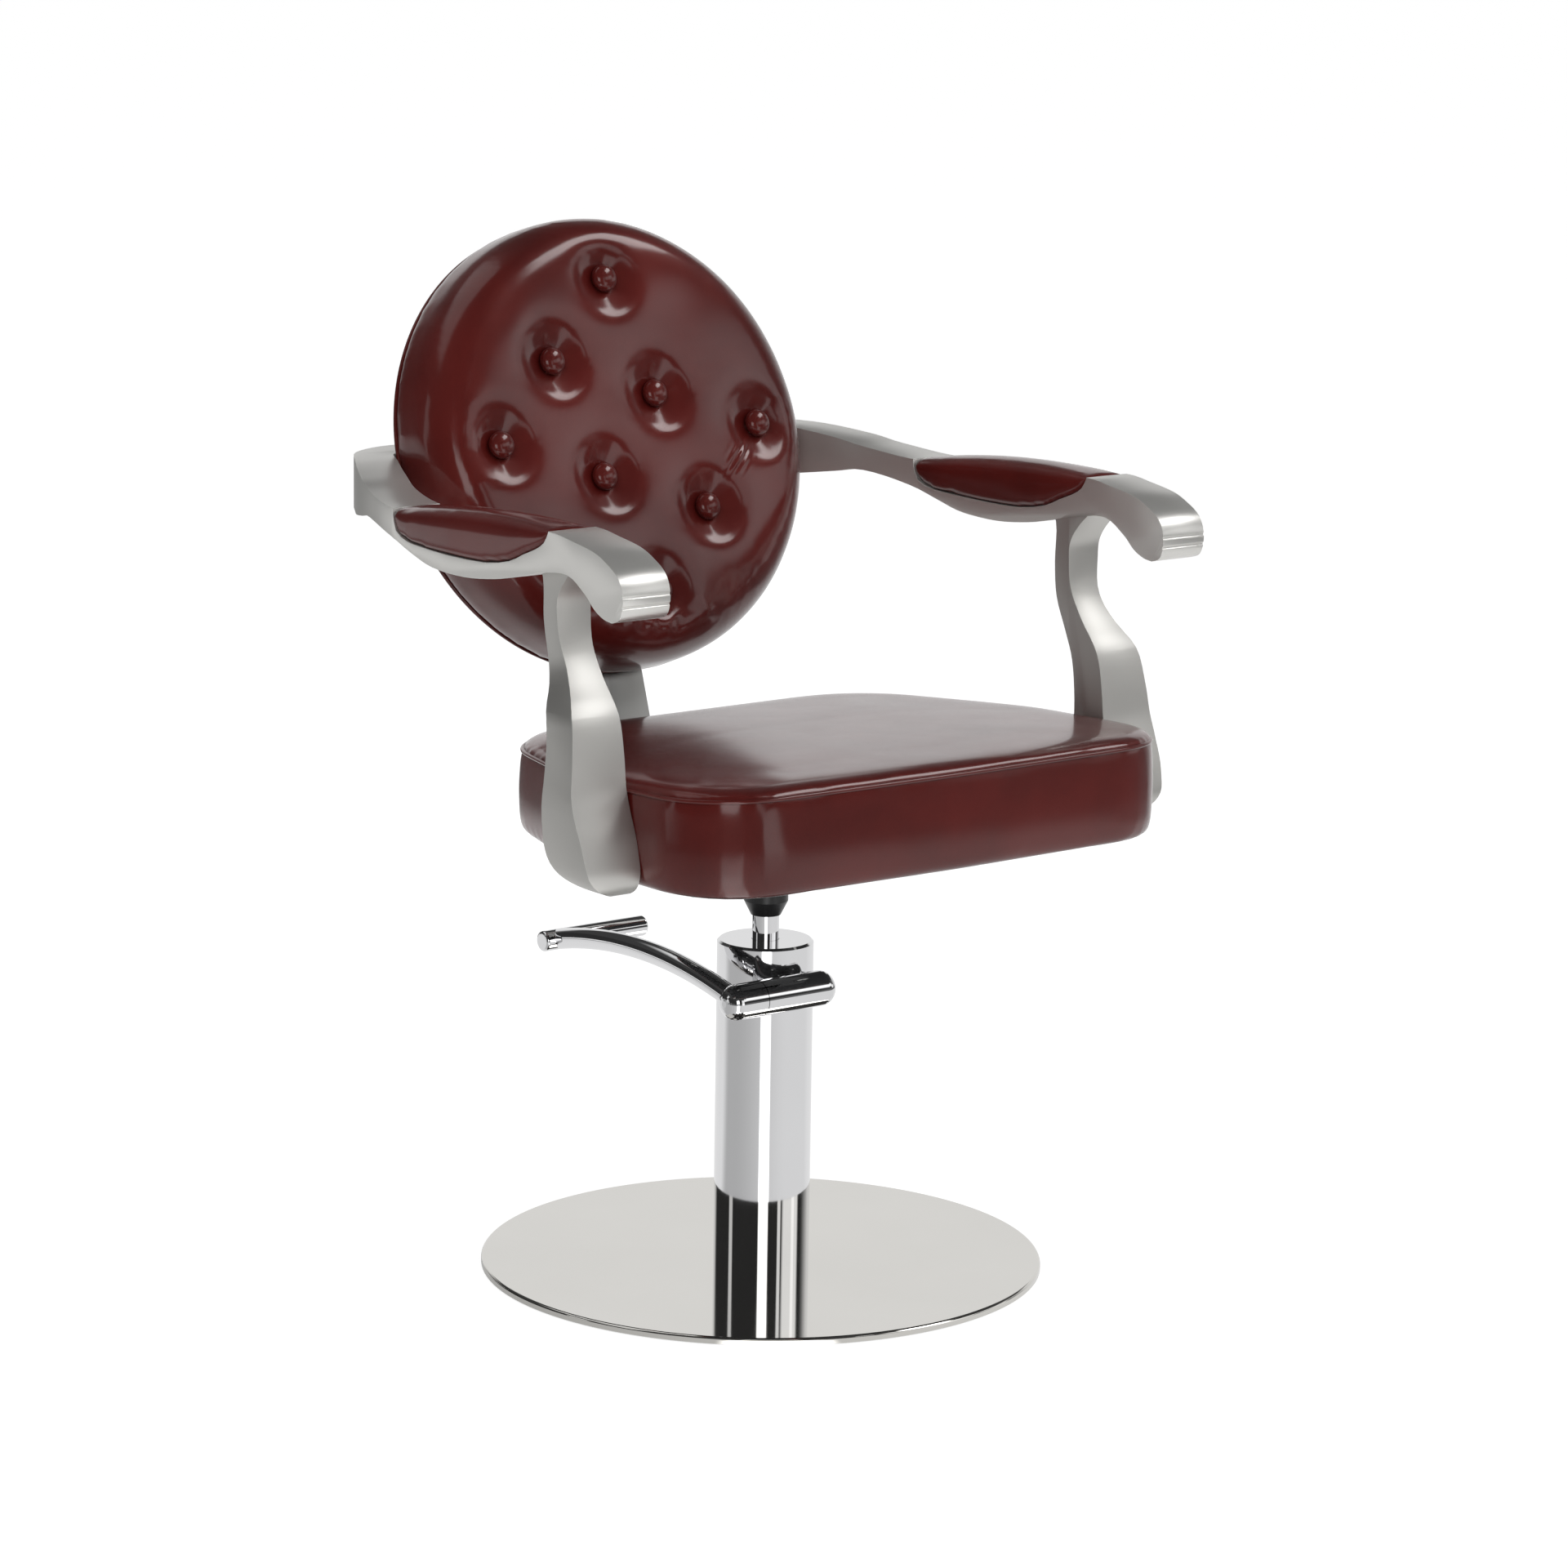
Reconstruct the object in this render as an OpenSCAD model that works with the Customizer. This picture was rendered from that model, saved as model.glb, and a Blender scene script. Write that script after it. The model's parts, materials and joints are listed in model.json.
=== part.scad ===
// Hydraulic styling chair: a round stainless base, a foot-pumped column, a wide leather
// seat, scrolled arms on S-shaped uprights and a round buttoned back.
// Millimetres. +Z is up, the sitter faces -Y, the origin is on the column axis at the floor.

/* [Base] */
// Diameter of the round base
base_d = 584; // [540:2:640]
// Height of the base
base_t = 8; // [7.5:0.5:14]
// Thickness of the stainless sheet that covers the base
sheet_t = 1.2; // [0.8:0.1:2]
// Thickness of the rubber mat under the base
mat_t = 2; // [1.5:0.25:3]

/* [Column and pump] */
// Outer diameter of the chromed column cover
column_d = 100; // [98:1:116]
// Wall of the column cover
column_wall = 1.5; // [1:0.1:2]
// Height of the column cover and its cap above the base
column_h = 338; // [334:1:380]
// Thickness of the column's cap
cap_t = 6; // [4:0.5:7]
// Diameter of the ram
ram_d = 28; // [24:0.5:29]
// Length of ram that shows with the seat at its lowest
ram_show = 26; // [12:1:60]
// Travel of the ram from its lowest to its highest
lift_travel = 150; // [80:5:165]
// Bore of the lifting cylinder
cylinder_bore = 34; // [33:0.5:35]
// Wall of the lifting cylinder
cylinder_wall = 4; // [3:0.5:4.5]
// Outer diameter of the oil reservoir
reservoir_d = 80; // [78:1:88]
// Wall of the oil reservoir
reservoir_wall = 3; // [2:0.5:4]
// Thickness of the foot plate of the pump
foot_t = 12; // [9:0.5:16]
// Diameter of the pumping plunger
plunger_d = 10; // [7:0.5:11]
// Diameter of the wire of the plunger's spring
spring_wire = 1.6; // [1:0.1:1.8]

/* [Foot lever] */
// Diameter of the pivot housing and of the lever hub
hub_d = 37; // [34:0.5:44]
// Height of the lever's pivot above the floor
hub_z = 305; // [298:1:308]
// Length of the pivot housing
housing_len = 93; // [86:1:110]
// Length of the lever hub
lever_hub_len = 44; // [38:1:60]
// Diameter of the pivot shaft
shaft_d = 16; // [12:0.5:18]
// Outer diameter of the lever tube and of the pedal bar
lever_d = 22; // [18:0.5:25]
// Wall of the lever tube
lever_wall = 2; // [1.5:0.25:3]
// Distance from the pivot back to the pedal bar
pedal_reach = 305; // [270:1:330]
// Height of the lever's highest point above its pivot
lever_rise = 25; // [15:1:35]
// Length of the pedal bar
pedal_w = 127; // [100:1:140]

/* [Seat] */
// Width of the seat across its front
seat_w = 611; // [560:1:640]
// Width of the seat across its back
seat_back_w = 464; // [420:1:500]
// Depth of the seat from front to back
seat_depth = 456; // [430:1:480]
// How far the front of the seat lies ahead of the column axis
seat_fwd = 308; // [290:1:320]
// Height of the seat's front, from its underside to the piping
seat_side_h = 98; // [80:1:115]
// How much lower the piping lies at the back
seat_fall = 16; // [0:1:20]
// Height of the crown above the piping
seat_crown = 9; // [8:1:26]
// Diameter of the piping
piping_d = 4; // [3:0.5:6]
// Thickness of the seat board and of the back board
board_t = 15; // [10:1:18]

/* [Seat carrier] */
// Height of the collar that carries the seat
collar_h = 68; // [60:1:80]
// Diameter of the collar
collar_d = 46; // [44:1:60]
// Side of the square mounting plate
plate_w = 176; // [164:2:220]
// Thickness of the mounting plate
plate_t = 6; // [5:0.5:10]
// Height of the channels under the seat
rail_h = 26; // [22:1:40]
// Width of the channels under the seat
rail_w = 36; // [32:1:40]
// Wall of the channels under the seat
rail_wall = 3; // [2:0.5:4]
// Length of the channels under the seat
rail_len = 260; // [230:5:280]

/* [Back] */
// Diameter of the round back cushion
back_d = 484; // [460:2:490]
// Lean of the back in degrees
back_tilt = 18; // [15:0.5:20]
// Height of the middle of the back above the underside of the seat
back_rise = 365; // [355:1:380]
// How far the middle of the back lies behind the column axis
back_y = 258; // [252:1:268]
// Thickness of the back cushion at its rim
back_t = 66; // [56:1:70]
// Height of the crown of the back cushion between its buttons
back_crown = 16; // [8:1:24]
// Thickness of the upholstered panel behind the back
panel_t = 9; // [6:0.5:12]
// Diameter of a button
button_d = 21; // [16:0.5:26]
// Distance from one button to the next
button_step = 118; // [100:1:122]
// Width of the flat bar that carries the back
bar_w = 56; // [44:1:64]
// Thickness of the flat bar that carries the back
bar_t = 8; // [6:0.5:10]

/* [Arms] */
// Width of an arm at its front
arm_w = 56; // [50:1:60]
// Height of the arm's underside, at its lowest, above the underside of the seat
arm_rise = 283; // [276:1:290]
// Width of an upright at its foot
upright_foot_w = 65; // [58:1:68]
// Width of an upright at its waist
upright_waist_w = 37; // [32:1:44]
// How far an arm pad stands out of the arm's sides
pad_proud = 1; // [0.5:0.5:3]
// Height of an arm pad above the metal at its ends
pad_crown = 6; // [3:0.5:10]

/* [Fasteners] */
// Thread diameter of the bolts
bolt_d = 8; // [6:0.5:8]
// Diameter of a bolt head
bolt_head_d = 14; // [12:0.5:15]

/* [Hidden] */

$fn = 96;
// Radial running fit, and the clearance of parts that pass each other
fit = 0.05;
gap = 0.3;
// How far a cut runs past a face
cut = 1;

chrome = "#c9ccd0";
steel = "#c6c0b8";
dark_steel = "#3a3a3c";
iron = "#5b5d60";
bronze = "#b08a4e";
rubber = "#1d1d1e";
leather = "#5e2420";
cloth = "#222222";
birch = "#c9a877";

// Heights of the column and of what it carries
column_top = base_t + column_h;
collar_z = column_top + ram_show;
plate_z = collar_z + collar_h;
rail_z = plate_z + plate_t;
seat_z = rail_z + rail_h;
dust_t = 1;
board_z = seat_z + dust_t;
board_top = board_z + board_t;

// Bolt heads
head_h = bolt_d * 0.6;
socket_w = bolt_d * 0.75;
nut_h = 6;
thread_in = 12;

// Base
mat_inset = 4;
rim_lift = 1;
weight_r = base_d / 2 - sheet_t - gap;
base_bolt_pcd = 68;
base_bolt_count = 4;
sink_h = (bolt_head_d - bolt_d) / 2;
cover_edge = 3;

// Column and pump
column_bore = column_d - 2 * column_wall;
head_r = column_bore / 2 - gap;
tube_z = base_t + foot_t;
stop_h = 6;
cylinder_r = cylinder_bore / 2 + cylinder_wall;
reservoir_in = reservoir_d / 2 - reservoir_wall;
head_z = hub_z - 55;
head_top = hub_z + 25;
bush_wall = 3;
bush_h = 26;
seal_h = 6;
gland_in = 8;
gland_flange = 3;
gland_rim = 4;
head_bore_r = ram_d / 2 + bush_wall;
piston_z = tube_z + stop_h;
piston_h = 28;
piston_top = piston_z + piston_h;
spigot_d = ram_d / 2;
spigot_h = 20;
ring_h = 5;
ring_depth = 2.5;
taper_h = 54;
taper_in = 2;
collar_lip = 15;
skirt_h = 6;
skirt_wall = 3;
cap_edge = 2.5;

// The plunger stands between the lifting cylinder and the reservoir
plunger_y = (cylinder_r + reservoir_in) / 2;
well_wall = 2.4;
well_h = 26;
well_floor = 3;
pocket_w = 22;
pocket_z = hub_z - 37;
pocket_top = hub_z + 8;
pocket_in = head_bore_r + 4;
finger_w = 12;
finger_h = 10;
plunger_top = hub_z - finger_h / 2 - gap;
plunger_head_h = 3;
plunger_head_r = plunger_d / 2 + 2;
plunger_end = head_z - 6;
spring_turns = 4;
spring_r = plunger_d / 2 + 0.4 + spring_wire / 2;
spring_sides = 6;
turn_steps = 16;
valve_y = (head_bore_r + head_r) / 2;
valve_r = 7;
valve_h = 30;
hex_af = 13;
hex_h = 5;

// Foot lever
// How far the lever turns down
lever_swing = 20;
hub_gap = 1;
hub_r = hub_d / 2;
shaft_r = shaft_d / 2;
hub_y = column_d / 2 + hub_gap + hub_r;
housing_x1 = 31;
housing_x0 = housing_x1 - housing_len;
split = 0.8;
hub_x1 = housing_x0 - split;
hub_x0 = hub_x1 - lever_hub_len;
hub_edge = 15;
end_wall = 6;
shaft_x0 = hub_x0 + end_wall;
shaft_x1 = housing_x1 - end_wall - gap;
bush_len = 16;
shaft_bush_wall = 2;
tube_in = 2;
lever_x = hub_x0 + lever_d / 2 + tube_in;
block_w = 36;
block_high = 12;
slot_w = finger_w + 2;
slot_high = 7;
slot_floor = 2;
head_flat = head_r - 4;
tenon = 5;
slot_low = (hub_y - head_flat + tenon) * tan(lever_swing) + finger_h / 2 / cos(lever_swing) + gap;
block_low = slot_low + slot_floor;
finger_reach = hub_y - plunger_y;
set_screw_d = 6;
set_screw_l = 9;
set_screw_x = (hub_x0 + hub_x1) / 2;
screw_dent = 2;
apex_y = 90;
apex_z = hub_z + lever_rise;
lever_arc_r = 600;
pedal_y = pedal_reach - hub_y;
hub_turn = asin((apex_y + hub_y) / lever_arc_r);
pedal_turn = asin((pedal_y - apex_y) / lever_arc_r);
pedal_z = apex_z - lever_arc_r * (1 - cos(pedal_turn));
pedal_x0 = hub_x0 - 5;
plug_in = 12;
plug_dome = 3;

// Seat plate and channels
plate_r = 14;
plate_bolt = plate_w / 2 - 14;
rail_x = plate_w / 2 - rail_w / 2;
rail_screw_x = rail_x - 4;
rail_screw_y = rail_len / 2 - 35;

// Seat outline, anticlockwise from the front right corner
seat_y0 = -seat_fwd;
seat_y1 = seat_depth - seat_fwd;
seat_bow = 7;
seat_waist_y = -78;
front_r = 88;
back_corner_r = 118;
waist_r = 190;
bow_r = 2500;
seat_corners = [
    [seat_w / 2, seat_y0 + seat_bow], [seat_w / 2, seat_waist_y], [seat_back_w / 2, seat_y1],
    [-seat_back_w / 2, seat_y1], [-seat_w / 2, seat_waist_y], [-seat_w / 2, seat_y0 + seat_bow],
    [0, seat_y0]];
seat_radii = [front_r, waist_r, back_corner_r, back_corner_r, waist_r, front_r, bow_r];
seat_mid = [0, seat_y0 + seat_depth / 2];
corner_steps = 7;
board_inset = 16;
crown_in = 5;
side_swell = 1;
piping_out = 0.4;
block_size = [38, 90, 58];
block_x = seat_w / 2 - board_inset - 4;
block_y = -142;
upright_bolt_y = [14, -6];
upright_bolt_z = [36, 12];
upright_bolt_in = 30;

// Back
back_z = seat_z + back_rise;
back_r = back_d / 2;
board_r = back_r - 20;
panel_back = back_t + panel_t;
back_edge = 5;
face_roll = 16;
face_r = back_r - face_roll;
face_edge = 8;
back_steps = 52;
face_rings = [1, 0.96, 0.9, 0.83, 0.755, 0.68, 0.6, 0.52, 0.44, 0.36, 0.27, 0.18, 0.09];
tuft_r = 25;
// Share of the crown that a button pulls down, and the height of a button's flat back
tuft_pull = 0.75;
button_z = 3;
button_h = 11;
bar_top = 60;
bar_bend_r = 34;
bar_fore = 20;
bar_bolt_x = bar_w / 4;
bar_bolt_rows = [35, -25];
bar_seat_rows = [seat_y1 - 90, seat_y1 - 36];
screw_in = 9;
// Where the line of the bar's front face meets the plane of the seat's underside
bar_lean = tan(back_tilt);
bar_foot_y = back_y + panel_back / cos(back_tilt) - back_rise * bar_lean;

// Arms, with heights over arm_z, the lowest line of their undersides
arm_z = seat_z + arm_rise;
upright_in = seat_w / 2 + side_swell + gap;
arm_off = 6.5;
arm_mid = upright_in + arm_off + arm_w / 2;
// Plan of an arm: how far its middle lies in from arm_mid, how far back, and its half width
arm_rear_w = 40;
arm_rear_y = back_y + 106;
arm_end_y = arm_rear_y + 1;
arm_turn = 197;
arm_plan = [
    [0, -262, arm_w / 2], [0, -100, arm_w / 2], [0, 0, arm_w / 2], [0, 62, arm_w / 2],
    [5, 140, arm_w / 2], [20, 208, arm_w / 2 - 2], [43, 264, arm_w / 2 - 4],
    [66, 308, arm_rear_w / 2 + 2], [88, 344, arm_rear_w / 2], [126, arm_rear_y, arm_rear_w / 2],
    [165, arm_end_y, arm_rear_w / 2], [arm_turn, arm_end_y, arm_rear_w / 2]];
arm_top = [
    [-229, -12], [-241, -7], [-246, 7], [-244, 22], [-236, 34], [-219, 44], [-198, 52], [-162, 58],
    [-126, 62], [-35, 61], [44, 57], [97, 53], [150, 50], [213, 57], [246, 64], [300, 72],
    [345, 74], [395, 74]];
arm_low = [
    [395, 20], [345, 20], [300, 20], [246, 27], [213, 31], [150, 21], [105, 9], [69, 1], [15, -1],
    [-37, 4], [-78, 12], [-118, 21], [-157, 24], [-185, 10], [-201, -3], [-216, -10], [-229, -12]];
curve_steps = 4;
// Edge of a pad on the arm, from its rear tip to its front
pad_low = [
    [146, 44], [139, 28], [118, 21], [96, 19], [42, 17], [-20, 18], [-62, 25], [-84, 34],
    [-105, 42], [-119, 50], [-126, 61]];
flute_r = 2;
flute_z = [4, 14];

// Uprights, front edge upwards and back edge downwards
upright_front = [
    [-165, -290], [-178, -289], [-190, -280], [-194, -265], [-191, -248], [-186, -230], [-177, -208],
    [-170, -185], [-166, -153], [-157, -117], [-131, -84], [-114, -55], [-110, -25], [-112, -5],
    [-126, 14], [-150, 34]];
upright_back = [
    [-70, 34], [-88, 12], [-88, -30], [-92, -66], [-107, -100], [-119, -130], [-124, -170],
    [-124, -215], [-127, -247], [-140, -268], [-165, -290]];
// Width of an upright at heights over arm_z: its toe is rounded in at the outer corner
upright_widths = [
    [-292, upright_foot_w * 0.2], [-286, upright_foot_w * 0.5], [-277, upright_foot_w * 0.77],
    [-265, upright_foot_w * 0.94], [-245, upright_foot_w], [-205, upright_foot_w + 2],
    [-175, upright_foot_w - 1], [-145, upright_foot_w - 5], [-115, upright_waist_w + 18],
    [-90, upright_waist_w + 6], [-65, upright_waist_w], [-25, upright_waist_w + 3],
    [50, upright_waist_w + 5]];

// Brackets between the arms and the back
bracket_in = 2;
bracket_len = 76;
bracket_h = 50;
bracket_bolts = [12, 48];
bracket_x0 = arm_mid - arm_turn + bracket_in;
bracket_x1 = bracket_x0 + bracket_len;
arm_inner_y = arm_end_y - arm_rear_w / 2;
arm_bolt_x = [for (d = bracket_bolts) bracket_x0 + d];
arm_bolt_z = arm_z + 47;
arm_bolt_head_y = arm_end_y + arm_rear_w / 2 - head_h - 2;
arm_bolt_grip = 32;

// Points of a smooth curve through P, n to each stretch
function bend(a, b, c, d, t) =
    (2 * b + (c - a) * t + (2 * a - 5 * b + 4 * c - d) * t * t + (3 * b - 3 * c + d - a) * t * t * t) / 2;
function curve(P, n = curve_steps) =
    let (last = len(P) - 1)
    [for (i = [0:last - 1]) for (k = [0:n - 1])
        bend(P[max(i - 1, 0)], P[i], P[i + 1], P[min(i + 2, last)], k / n), P[last]];
function unit(v) = v / norm(v);
function right_of(v) = [v[1], -v[0]];
function along(P, i) = unit(P[min(i + 1, len(P) - 1)] - P[max(i - 1, 0)]);
// Outline with round corners, drawn in by d: corners C, anticlockwise, with radii R
function rounded(C, R, d = 0, steps = corner_steps) = [
    for (i = [0:len(C) - 1])
        let (
            n = len(C),
            u = right_of(unit(C[i] - C[(i + n - 1) % n])),
            v = right_of(unit(C[(i + 1) % n] - C[i])),
            m = C[i] - (u + v) * R[i] / (1 + u * v),
            a = atan2(u[1], u[0]),
            turn = (atan2(v[1], v[0]) - a + 720) % 360)
        for (k = [0:steps])
            m + (R[i] - d) * [cos(a + turn * k / steps), sin(a + turn * k / steps)]];
// Closed skin over rings of equally many points, from the lowest to the highest
function skin_points(rings) = [for (r = rings) each r];
function skin_faces(count, n) = [
    for (k = [0:count - 2]) for (i = [0:n - 1])
        let (a = k * n + i, b = k * n + (i + 1) % n)
        each [[a, a + n, b], [b, a + n, b + n]]];
function fan(centre, first, n, up) = [
    for (i = [0:n - 1])
        let (a = first + i, b = first + (i + 1) % n)
        up ? [centre, b, a] : [centre, a, b]];

// A solid skin whose ends close on a point each
module skin(rings, low, high) {
    n = len(rings[0]);
    total = len(rings) * n;
    polyhedron(
        points = concat(skin_points(rings), [low, high]),
        faces = concat(skin_faces(len(rings), n), fan(total, 0, n, false),
            fan(total + 1, total - n, n, true)));
}

// Bar of radius r along X from x0 to x1, its ends rounded by e0 and e1
module rod(r, x0, x1, e0 = 0, e1 = 0) {
    rotate([0, 90, 0])
        rotate_extrude()
            polygon(concat(
                [[0, x0]],
                e0 > 0 ? [for (a = [-90:10:0]) [r - e0 + e0 * cos(a), x0 + e0 + e0 * sin(a)]] : [[r, x0]],
                e1 > 0 ? [for (a = [0:10:90]) [r - e1 + e1 * cos(a), x1 - e1 + e1 * sin(a)]] : [[r, x1]],
                [[0, x1]]));
}
module tube(r, wall, z0, z1) {
    translate([0, 0, z0])
        difference() {
            cylinder(r = r, h = z1 - z0);
            translate([0, 0, -cut])
                cylinder(r = r - wall, h = z1 - z0 + 2 * cut);
        }
}
// Round hole or pin along +Z from z0 to z1
module pin(r, z0, z1) {
    translate([0, 0, z0])
        cylinder(r = r, h = z1 - z0, $fn = 48);
}
// Bolt that points up, its head's seat at z = 0, with a hex socket
module bolt(length) {
    pin(bolt_d / 2, 0, length);
    difference() {
        pin(bolt_head_d / 2, -head_h, 0);
        translate([0, 0, -head_h - cut])
            cylinder(d = socket_w, h = head_h * 0.6 + cut, $fn = 6);
    }
}
module round_plate(w, r, t) {
    linear_extrude(t)
        polygon(rounded([[w, -w] / 2, [w, w] / 2, [-w, w] / 2, [-w, -w] / 2], [r, r, r, r]));
}
module at_corners(d) {
    for (sx = [-1, 1])
        for (sy = [-1, 1])
            translate([sx * d[0], sy * d[1], 0])
                children();
}

// ---- Base ----
module at_base_bolts() {
    for (k = [0:base_bolt_count - 1])
        rotate([0, 0, 45 + 360 / base_bolt_count * k])
            translate([base_bolt_pcd / 2, 0, 0])
                children();
}
module sunk_head(grow) {
    translate([0, 0, mat_t])
        cylinder(r1 = bolt_head_d / 2 + grow, r2 = bolt_d / 2 + grow, h = sink_h);
}
module floor_mat() {
    color(rubber)
        pin(base_d / 2 - mat_inset, 0, mat_t, $fn = 96);
}
module base_weight() {
    color(iron)
        difference() {
            pin(weight_r, mat_t, base_t - sheet_t, $fn = 96);
            at_base_bolts() {
                pin(bolt_d / 2 + fit, 0, base_t);
                sunk_head(fit);
            }
        }
}
module base_cover() {
    color(steel)
        difference() {
            rotate_extrude()
                polygon(concat(
                    [[0, base_t - sheet_t], [weight_r + gap, base_t - sheet_t], [weight_r + gap, rim_lift],
                        [base_d / 2, rim_lift]],
                    [for (a = [0:15:90])
                        [base_d / 2, base_t] + cover_edge * [cos(a) - 1, sin(a) - 1]],
                    [[0, base_t]]));
            at_base_bolts()
                pin(bolt_d / 2 + fit, 0, base_t + cut);
        }
}
module base_bolts() {
    color(dark_steel)
        at_base_bolts() {
            pin(bolt_d / 2, mat_t, base_t + foot_t - cut);
            sunk_head(0);
        }
}

// ---- Pump ----
module pump_foot() {
    color(iron)
        difference() {
            union() {
                pin(head_r, base_t, tube_z, $fn = 96);
                pin(cylinder_bore / 2 - gap, tube_z, piston_z);
            }
            at_base_bolts()
                pin(bolt_d / 2 + fit, base_t - cut, tube_z - cut / 2);
            pin(spigot_d / 2, tube_z - foot_t / 2, piston_z + cut);
        }
}
module reservoir() {
    color(iron)
        tube(reservoir_d / 2, reservoir_wall, tube_z, head_z);
}
module lift_cylinder() {
    color(steel)
        tube(cylinder_r, cylinder_wall, tube_z, head_z);
}
module pump_head() {
    color(iron)
        difference() {
            union() {
                pin(head_r, head_z, head_top, $fn = 96);
                translate([0, -plunger_y, 0])
                    pin(plunger_d / 2 + well_wall, head_z - well_h, head_z);
            }
            pin(ram_d / 2 + gap, head_z - cut, head_top + cut);
            pin(head_bore_r + fit, head_top - gland_in - seal_h - bush_h, head_top + cut);
            translate([-head_r, -head_r - head_flat, hub_z - block_low])
                cube([2 * head_r, head_r, head_top - hub_z + block_low + cut]);
            translate([-pocket_w / 2, -head_r - cut, pocket_z])
                cube([pocket_w, head_r + cut - pocket_in, pocket_top - pocket_z]);
            translate([0, -plunger_y, 0])
                pin(plunger_d / 2 + fit, head_z - well_h + well_floor, pocket_z + cut);
            translate([0, valve_y, 0])
                pin(valve_r + fit, head_top - valve_h, head_top + cut);
        }
}
module guide_bush() {
    z1 = head_top - gland_in - seal_h;
    color(bronze)
        tube(head_bore_r, bush_wall - fit, z1 - bush_h, z1);
}
module wiper_seal() {
    z1 = head_top - gland_in;
    color(rubber)
        tube(head_bore_r, bush_wall - fit, z1 - seal_h, z1);
}
module gland_nut() {
    color(steel)
        difference() {
            union() {
                pin(head_bore_r, head_top - gland_in, head_top);
                pin(head_bore_r + gland_rim, head_top, head_top + gland_flange);
            }
            pin(ram_d / 2 + gap, 0, column_top);
        }
}
module release_valve() {
    color(bronze)
        translate([0, valve_y, 0]) {
            pin(valve_r, head_top - valve_h, head_top);
            translate([0, 0, head_top])
                cylinder(d = hex_af / cos(30), h = hex_h, $fn = 6);
        }
}
module plunger() {
    color(steel)
        translate([0, -plunger_y, 0]) {
            pin(plunger_d / 2, plunger_end, plunger_top);
            pin(plunger_head_r, plunger_top - plunger_head_h, plunger_top);
        }
}
// Coil between the pocket's floor and the plunger's head, its ends lying on both
module plunger_spring() {
    low = pocket_z + spring_wire / 2;
    rise = plunger_top - plunger_head_h - pocket_z - spring_wire;
    count = spring_turns * turn_steps;
    rings = [
        for (i = [0:count])
            let (a = 360 * i / turn_steps, z = low + rise * i / count)
            [for (k = [0:spring_sides - 1])
                let (b = -360 * k / spring_sides, r = spring_r + spring_wire / 2 * cos(b))
                [r * cos(a), r * sin(a), z + spring_wire / 2 * sin(b)]]];
    color(steel)
        translate([0, -plunger_y, 0])
            skin(rings, [spring_r, 0, low], [spring_r, 0, low + rise]);
}
module column_cover() {
    color(chrome)
        difference() {
            tube(column_d / 2, column_wall, base_t, column_top - cap_t, $fn = 128);
            translate([-block_w / 2 - gap, -column_d, hub_z - block_low - gap])
                cube([block_w + 2 * gap, column_d, block_low + block_high + 2 * gap]);
        }
}
module column_cap() {
    z0 = column_top - cap_t;
    skirt_r = column_bore / 2 - gap / 2;
    color(chrome)
        rotate_extrude($fn = 128)
            polygon([
                [ram_d / 2 + gap, z0], [skirt_r - skirt_wall, z0], [skirt_r - skirt_wall, z0 - skirt_h],
                [skirt_r, z0 - skirt_h], [skirt_r, z0], [column_d / 2, z0],
                [column_d / 2, column_top - cap_edge], [column_d / 2 - cap_edge, column_top],
                [ram_d / 2 + gap, column_top]]);
}
module piston() {
    r = cylinder_bore / 2 - fit;
    color(steel)
        difference() {
            pin(r, piston_z, piston_top);
            pin(spigot_d / 2 + fit, piston_top - spigot_h - gap, piston_top + cut);
            difference() {
                pin(r + cut, piston_z + ring_h, piston_z + 2 * ring_h);
                pin(r - ring_depth, piston_z, piston_top);
            }
        }
}
module piston_seal() {
    color(rubber)
        tube(cylinder_bore / 2 - fit, ring_depth - fit, piston_z + ring_h, piston_z + 2 * ring_h);
}
// The ram turns on the piston and ends in a taper that carries the seat's collar
module ram() {
    color(chrome)
        difference() {
            union() {
                pin(spigot_d / 2, piston_top - spigot_h, piston_top);
                pin(ram_d / 2, piston_top, collar_z, $fn = 96);
                translate([0, 0, collar_z])
                    cylinder(r1 = ram_d / 2 - taper_in / 4, r2 = ram_d / 2 - taper_in, h = taper_h);
            }
            pin(bolt_d / 2 + fit, collar_z + taper_h / 2, collar_z + taper_h + cut);
        }
}

// ---- Foot lever ----
module at_pivot() {
    translate([0, -hub_y, hub_z])
        children();
}
// Round housing across the front of the column, with a block that reaches in to the pump
module pivot_housing() {
    back = hub_y - head_flat;
    color(chrome)
        at_pivot()
            difference() {
                union() {
                    rod(hub_r, housing_x0, housing_x1, 0, hub_edge);
                    translate([-block_w / 2, 0, -block_low])
                        cube([block_w, back, block_low + block_high]);
                    translate([-pocket_w / 2, 0, -block_low])
                        cube([pocket_w, back + tenon, block_low + pocket_top - hub_z]);
                }
                rod(shaft_r + shaft_bush_wall + fit, housing_x0 - cut, housing_x1 - end_wall);
                translate([-slot_w / 2, 0, -slot_low])
                    cube([slot_w, back + tenon + cut, slot_low + slot_high]);
            }
}
module shaft_bushes() {
    color(bronze)
        at_pivot()
            for (x = [housing_x0, housing_x1 - end_wall - bush_len])
                difference() {
                    rod(shaft_r + shaft_bush_wall, x, x + bush_len);
                    rod(shaft_r + fit, x - cut, x + bush_len + cut);
                }
}
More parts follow.
